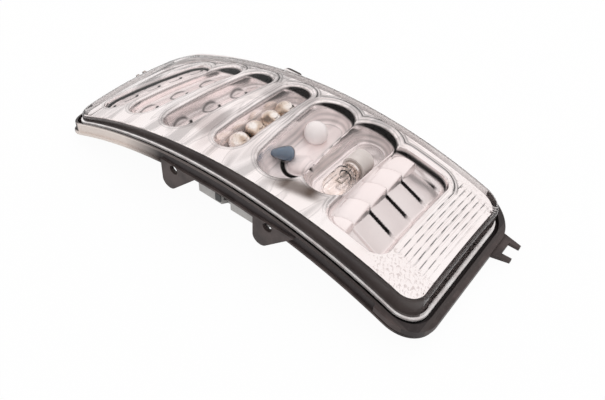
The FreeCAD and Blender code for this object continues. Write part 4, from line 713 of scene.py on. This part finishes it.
# Frosting and painted highlight: the foot is a near-white, rough surface that stands for the bright line
# along the lens foot.
frosted_foot_highlight = tree.nodes.new("ShaderNodeBsdfPrincipled")
frosted_foot_highlight.inputs["Roughness"].default_value = 0.35
frost = noise(tree, place, 160.0).outputs["Fac"]
color = ramp(tree, frost, [(0.3, (0.72, 0.66, 0.65)), (0.7, (0.95, 0.93, 0.92))])
tree.links.new(color, frosted_foot_highlight.inputs["Base Color"])
on_foot = below(tree, arch_radius(tree, at_x, at_z), LENS_FOOT_RADIUS)
light_passes(tree, mix_shader(tree, on_foot, cover, frosted_foot_highlight.outputs["BSDF"]))
dress("lens", lens_clear)

# Rear carrier: a pale grey moulding with the bulbs' sockets, two lugs and the connector, screwed to the
# back of the housing on a black gasket. Stamped brass strips and pins are pressed into it, and a dark clip
# sits at the end of a lug.


def moulded(name, dark, pale, roughness):
    """Moulded plastic or rubber with fine grain and faint mottling."""
    material, tree, shader = new_material(name, roughness=roughness)
    mottle = grain(tree, shader, 1200.0, 0.2)
    tree.links.new(ramp(tree, mottle, [(0.35, dark), (0.65, pale)]), shader.inputs["Base Color"])
    return material


dress("rear_carrier", moulded("carrier_grey", (0.44, 0.43, 0.42), (0.54, 0.53, 0.515), 0.5))
dress("carrier_gasket", moulded("gasket_black", (0.012, 0.012, 0.012), (0.025, 0.025, 0.025), 0.6))
strip_brass = turned_metal("strip_brass", (0.6, 0.42, 0.18), (0.8, 0.6, 0.3), 0.28)
dress("contact_strips", strip_brass)
dress("connector_pins", strip_brass)
dress("carrier_clip", moulded("clip_black", (0.01, 0.01, 0.01), (0.022, 0.022, 0.022), 0.4))

# Indicator bulb: a round blown bulb, silvered inside so that it looks pale when it is off. Its plated cap
# sits in a socket of the rear carrier.
silver_glass, tree, shader = new_material("silver_glass", roughness=0.22)
shader.inputs["Coat Weight"].default_value = 0.5
mottle = grain(tree, shader, 300.0, 0.03)
color = ramp(tree, mottle, [(0.3, (0.90, 0.84, 0.83)), (0.7, (0.95, 0.91, 0.90))])
tree.links.new(color, shader.inputs["Base Color"])
dress("indicator_bulb_glass", silver_glass)
dress("indicator_bulb_cap", turned_metal("cap_metal", (0.55, 0.48, 0.42), (0.75, 0.68, 0.6), 0.25))

# Sidelight bulb: a small capsule of dark blue glass, drawn to a blunt tip that points to the near left.
# Its grey wedge base is pushed into a socket of the rear carrier.
DROP_AT = (0.0160, -0.0145, 0.0420)
DROP_TIP = (-0.79, -0.61, 0.02)
DROP_LEVEL = (-0.61, 0.79, 0.0)
DROP_HALF_LENGTH, DROP_HALF_WIDTH, DROP_HALF_HEIGHT = 0.0080, 0.0068, 0.0066
DROP_COLUMNS, DROP_ROWS = 64, 40


def drop_glass(columns, rows):
    """Round drop: circles round a level axis, whose radius swells behind a blunt tip and closes behind."""
    turn = np.linspace(0, 2 * np.pi, columns)[None, :, None]
    along = np.linspace(0, np.pi, rows)[:, None, None]
    size = np.sin(along) * (0.78 + 0.30 * np.cos(along) + 0.10 * np.cos(2 * along))
    level = DROP_HALF_WIDTH * np.cos(turn) * np.array(DROP_LEVEL)
    upward = DROP_HALF_HEIGHT * np.sin(turn) * np.array((0.0, 0.0, 1.0))
    axis = np.array(DROP_AT) - DROP_HALF_LENGTH * np.cos(along) * np.array(DROP_TIP)
    return axis + size * (level + upward)


blue_glass, tree, shader = new_material("blue_glass", roughness=0.06)
shader.inputs["Coat Weight"].default_value = 1.0
mottle = grain(tree, shader, 300.0, 0.02)
deep = ramp(tree, mottle, [(0.3, (0.07, 0.11, 0.165)), (0.7, (0.15, 0.21, 0.28))])
# Painted shade: the colour turns near black where the glass turns away from view, a painted dark outline.
rim = tree.nodes.new("ShaderNodeLayerWeight")
rim.inputs["Blend"].default_value = 0.35
edge = ramp(tree, rim.outputs["Facing"], [(0.25, (0.0, 0.0, 0.0)), (0.62, (1.0, 1.0, 1.0))])
tree.links.new(mix_color(tree, edge, deep, (0.012, 0.017, 0.026)), shader.inputs["Base Color"])
quads = grid_faces(DROP_ROWS, DROP_COLUMNS)[:, ::-1]
drop_piece = new_mesh("sidelight_drop", drop_glass(DROP_COLUMNS, DROP_ROWS), quads)
drop_piece.data.materials.append(blue_glass)
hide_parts("sidelight_bulb_glass")
dress("sidelight_bulb_base", moulded("base_grey", (0.18, 0.18, 0.19), (0.26, 0.26, 0.27), 0.45))

# Lying bulb: clear blown glass, a little wavy, round two wires and a coil, in a plated base. An elbow
# holder of pale plastic on the rear carrier lays it along the sixth well.
bulb_clear, tree, shader = new_material("bulb_clear", roughness=0.0)
shader.inputs["Transmission Weight"].default_value = 1.0
shader.inputs["IOR"].default_value = 1.3
place = object_place(tree)[0]
waves = noise(tree, place, 180.0, detail=1.0).outputs["Fac"]
color = ramp(tree, waves, [(0.35, (0.90, 0.85, 0.80)), (0.6, (1.0, 0.99, 0.98))])
tree.links.new(color, shader.inputs["Base Color"])
bump(tree, shader, waves, 0.35, 0.001)
light_passes(tree, shader.outputs["BSDF"])
dress("running_bulb_glass", bulb_clear)
dress("running_bulb_wires", turned_metal("wire_metal", (0.3, 0.28, 0.26), (0.45, 0.42, 0.4), 0.35))
dress("running_bulb_base", turned_metal("base_metal", (0.72, 0.66, 0.62), (0.93, 0.88, 0.85), 0.12))
dress("running_bulb_holder", moulded("holder_grey", (0.62, 0.57, 0.54), (0.78, 0.73, 0.7), 0.3))

# Breather cap: a soft black rubber cap, pressed by its stem into a bore in the back of the housing. It lets
# air in and out as the lamp warms and cools.
dress("vent_cap", moulded("cap_black", (0.014, 0.014, 0.014), (0.03, 0.03, 0.03), 0.55))

# Stage: a white floor in a white studio, whose cloudy light the bright metal mirrors, with one soft lamp
# and the camera of the photograph. A dim zone low behind the camera keeps walls that face it from glaring.
CLOUDS = [(0.34, (0.74, 0.705, 0.70)), (0.44, (1.0, 0.99, 0.985)), (0.6, (1.0, 1.0, 1.0))]
FLOOR_SIZE, FLOOR_GLOW = 2.4, 0.96
TOWARD_CAMERA_X, TOWARD_CAMERA_Y = 0.566, -0.824
LAMP_AT, LAMP_AIM, LAMP_SIZE, LAMP_POWER = (-0.2, 0.3, 0.9), (0.0, 0.0, 0.02), 0.6, 1.0
CAMERA_AT = Vector((0.20563, -0.26511, 0.31297))
CAMERA_RIGHT = Vector((0.79249, 0.60758, 0.05294))
CAMERA_UP = Vector((-0.45818, 0.53583, 0.7092))
CAMERA_LENS, CAMERA_SENSOR = 39.65, 36.0
scene = bpy.context.scene
scene.view_settings.view_transform = "Standard"
bpy.ops.mesh.primitive_plane_add(size=FLOOR_SIZE)
floor = bpy.context.object
floor.name = "floor"
floor_white, tree, shader = new_material("floor_white", roughness=0.9)
shader.inputs["Base Color"].default_value = (0.9, 0.9, 0.9, 1)
glow = tree.nodes.new("ShaderNodeEmission")
way = tree.nodes.new("ShaderNodeLightPath")
seen = either(tree, way.outputs["Is Camera Ray"], way.outputs["Is Glossy Ray"])
seen = either(tree, seen, way.outputs["Is Transmission Ray"])
surface = mix_shader(tree, both(tree, seen, FLOOR_GLOW), shader.outputs["BSDF"], glow.outputs["Emission"])
tree.links.new(surface, tree.nodes["Material Output"].inputs["Surface"])
floor.data.materials.append(floor_white)

world = bpy.data.worlds.new("studio")
scene.world = world
world.use_nodes = True
tree = world.node_tree
sky = tree.nodes["Background"]
sky.inputs["Strength"].default_value = 1.0
around = tree.nodes.new("ShaderNodeTexCoord").outputs["Generated"]
axes = tree.nodes.new("ShaderNodeSeparateXYZ")
tree.links.new(around, axes.inputs["Vector"])
clouds = noise(tree, around, 3.6, detail=1.0).outputs["Fac"]
color = ramp(tree, clouds, CLOUDS)
ahead = both(tree, axes.outputs["X"], TOWARD_CAMERA_X)
ahead = calc(tree, "MULTIPLY_ADD", axes.outputs["Y"], TOWARD_CAMERA_Y, ahead)
low = ramp(tree, axes.outputs["Z"], [(0.30, (1.0, 1.0, 1.0)), (0.42, (0.0, 0.0, 0.0))])
facing = ramp(tree, ahead, [(0.15, (0.0, 0.0, 0.0)), (0.40, (1.0, 1.0, 1.0))])
color = mix_color(tree, both(tree, low, facing), color, (0.50, 0.47, 0.465))
way = tree.nodes.new("ShaderNodeLightPath")
color = mix_color(tree, way.outputs["Is Camera Ray"], color, (1.0, 1.0, 1.0))
tree.links.new(color, sky.inputs["Color"])

lamp = bpy.data.lights.new("top_lamp", "AREA")
lamp.shape = "SQUARE"
lamp.size = LAMP_SIZE
lamp.energy = LAMP_POWER
lamp_piece = bpy.data.objects.new("top_lamp", lamp)
lamp_piece.location = LAMP_AT
lamp_piece.rotation_euler = (Vector(LAMP_AIM) - Vector(LAMP_AT)).to_track_quat("-Z", "Y").to_euler()
lamp_piece.visible_glossy = False
scene.collection.objects.link(lamp_piece)

camera = bpy.data.cameras.new("camera")
camera.lens = CAMERA_LENS
camera.sensor_width = CAMERA_SENSOR
camera.sensor_fit = "HORIZONTAL"
viewer = bpy.data.objects.new("camera", camera)
turn = Matrix((CAMERA_RIGHT, CAMERA_UP, CAMERA_RIGHT.cross(CAMERA_UP))).transposed().to_4x4()
viewer.matrix_world = Matrix.Translation(CAMERA_AT) @ turn
scene.collection.objects.link(viewer)
scene.camera = viewer
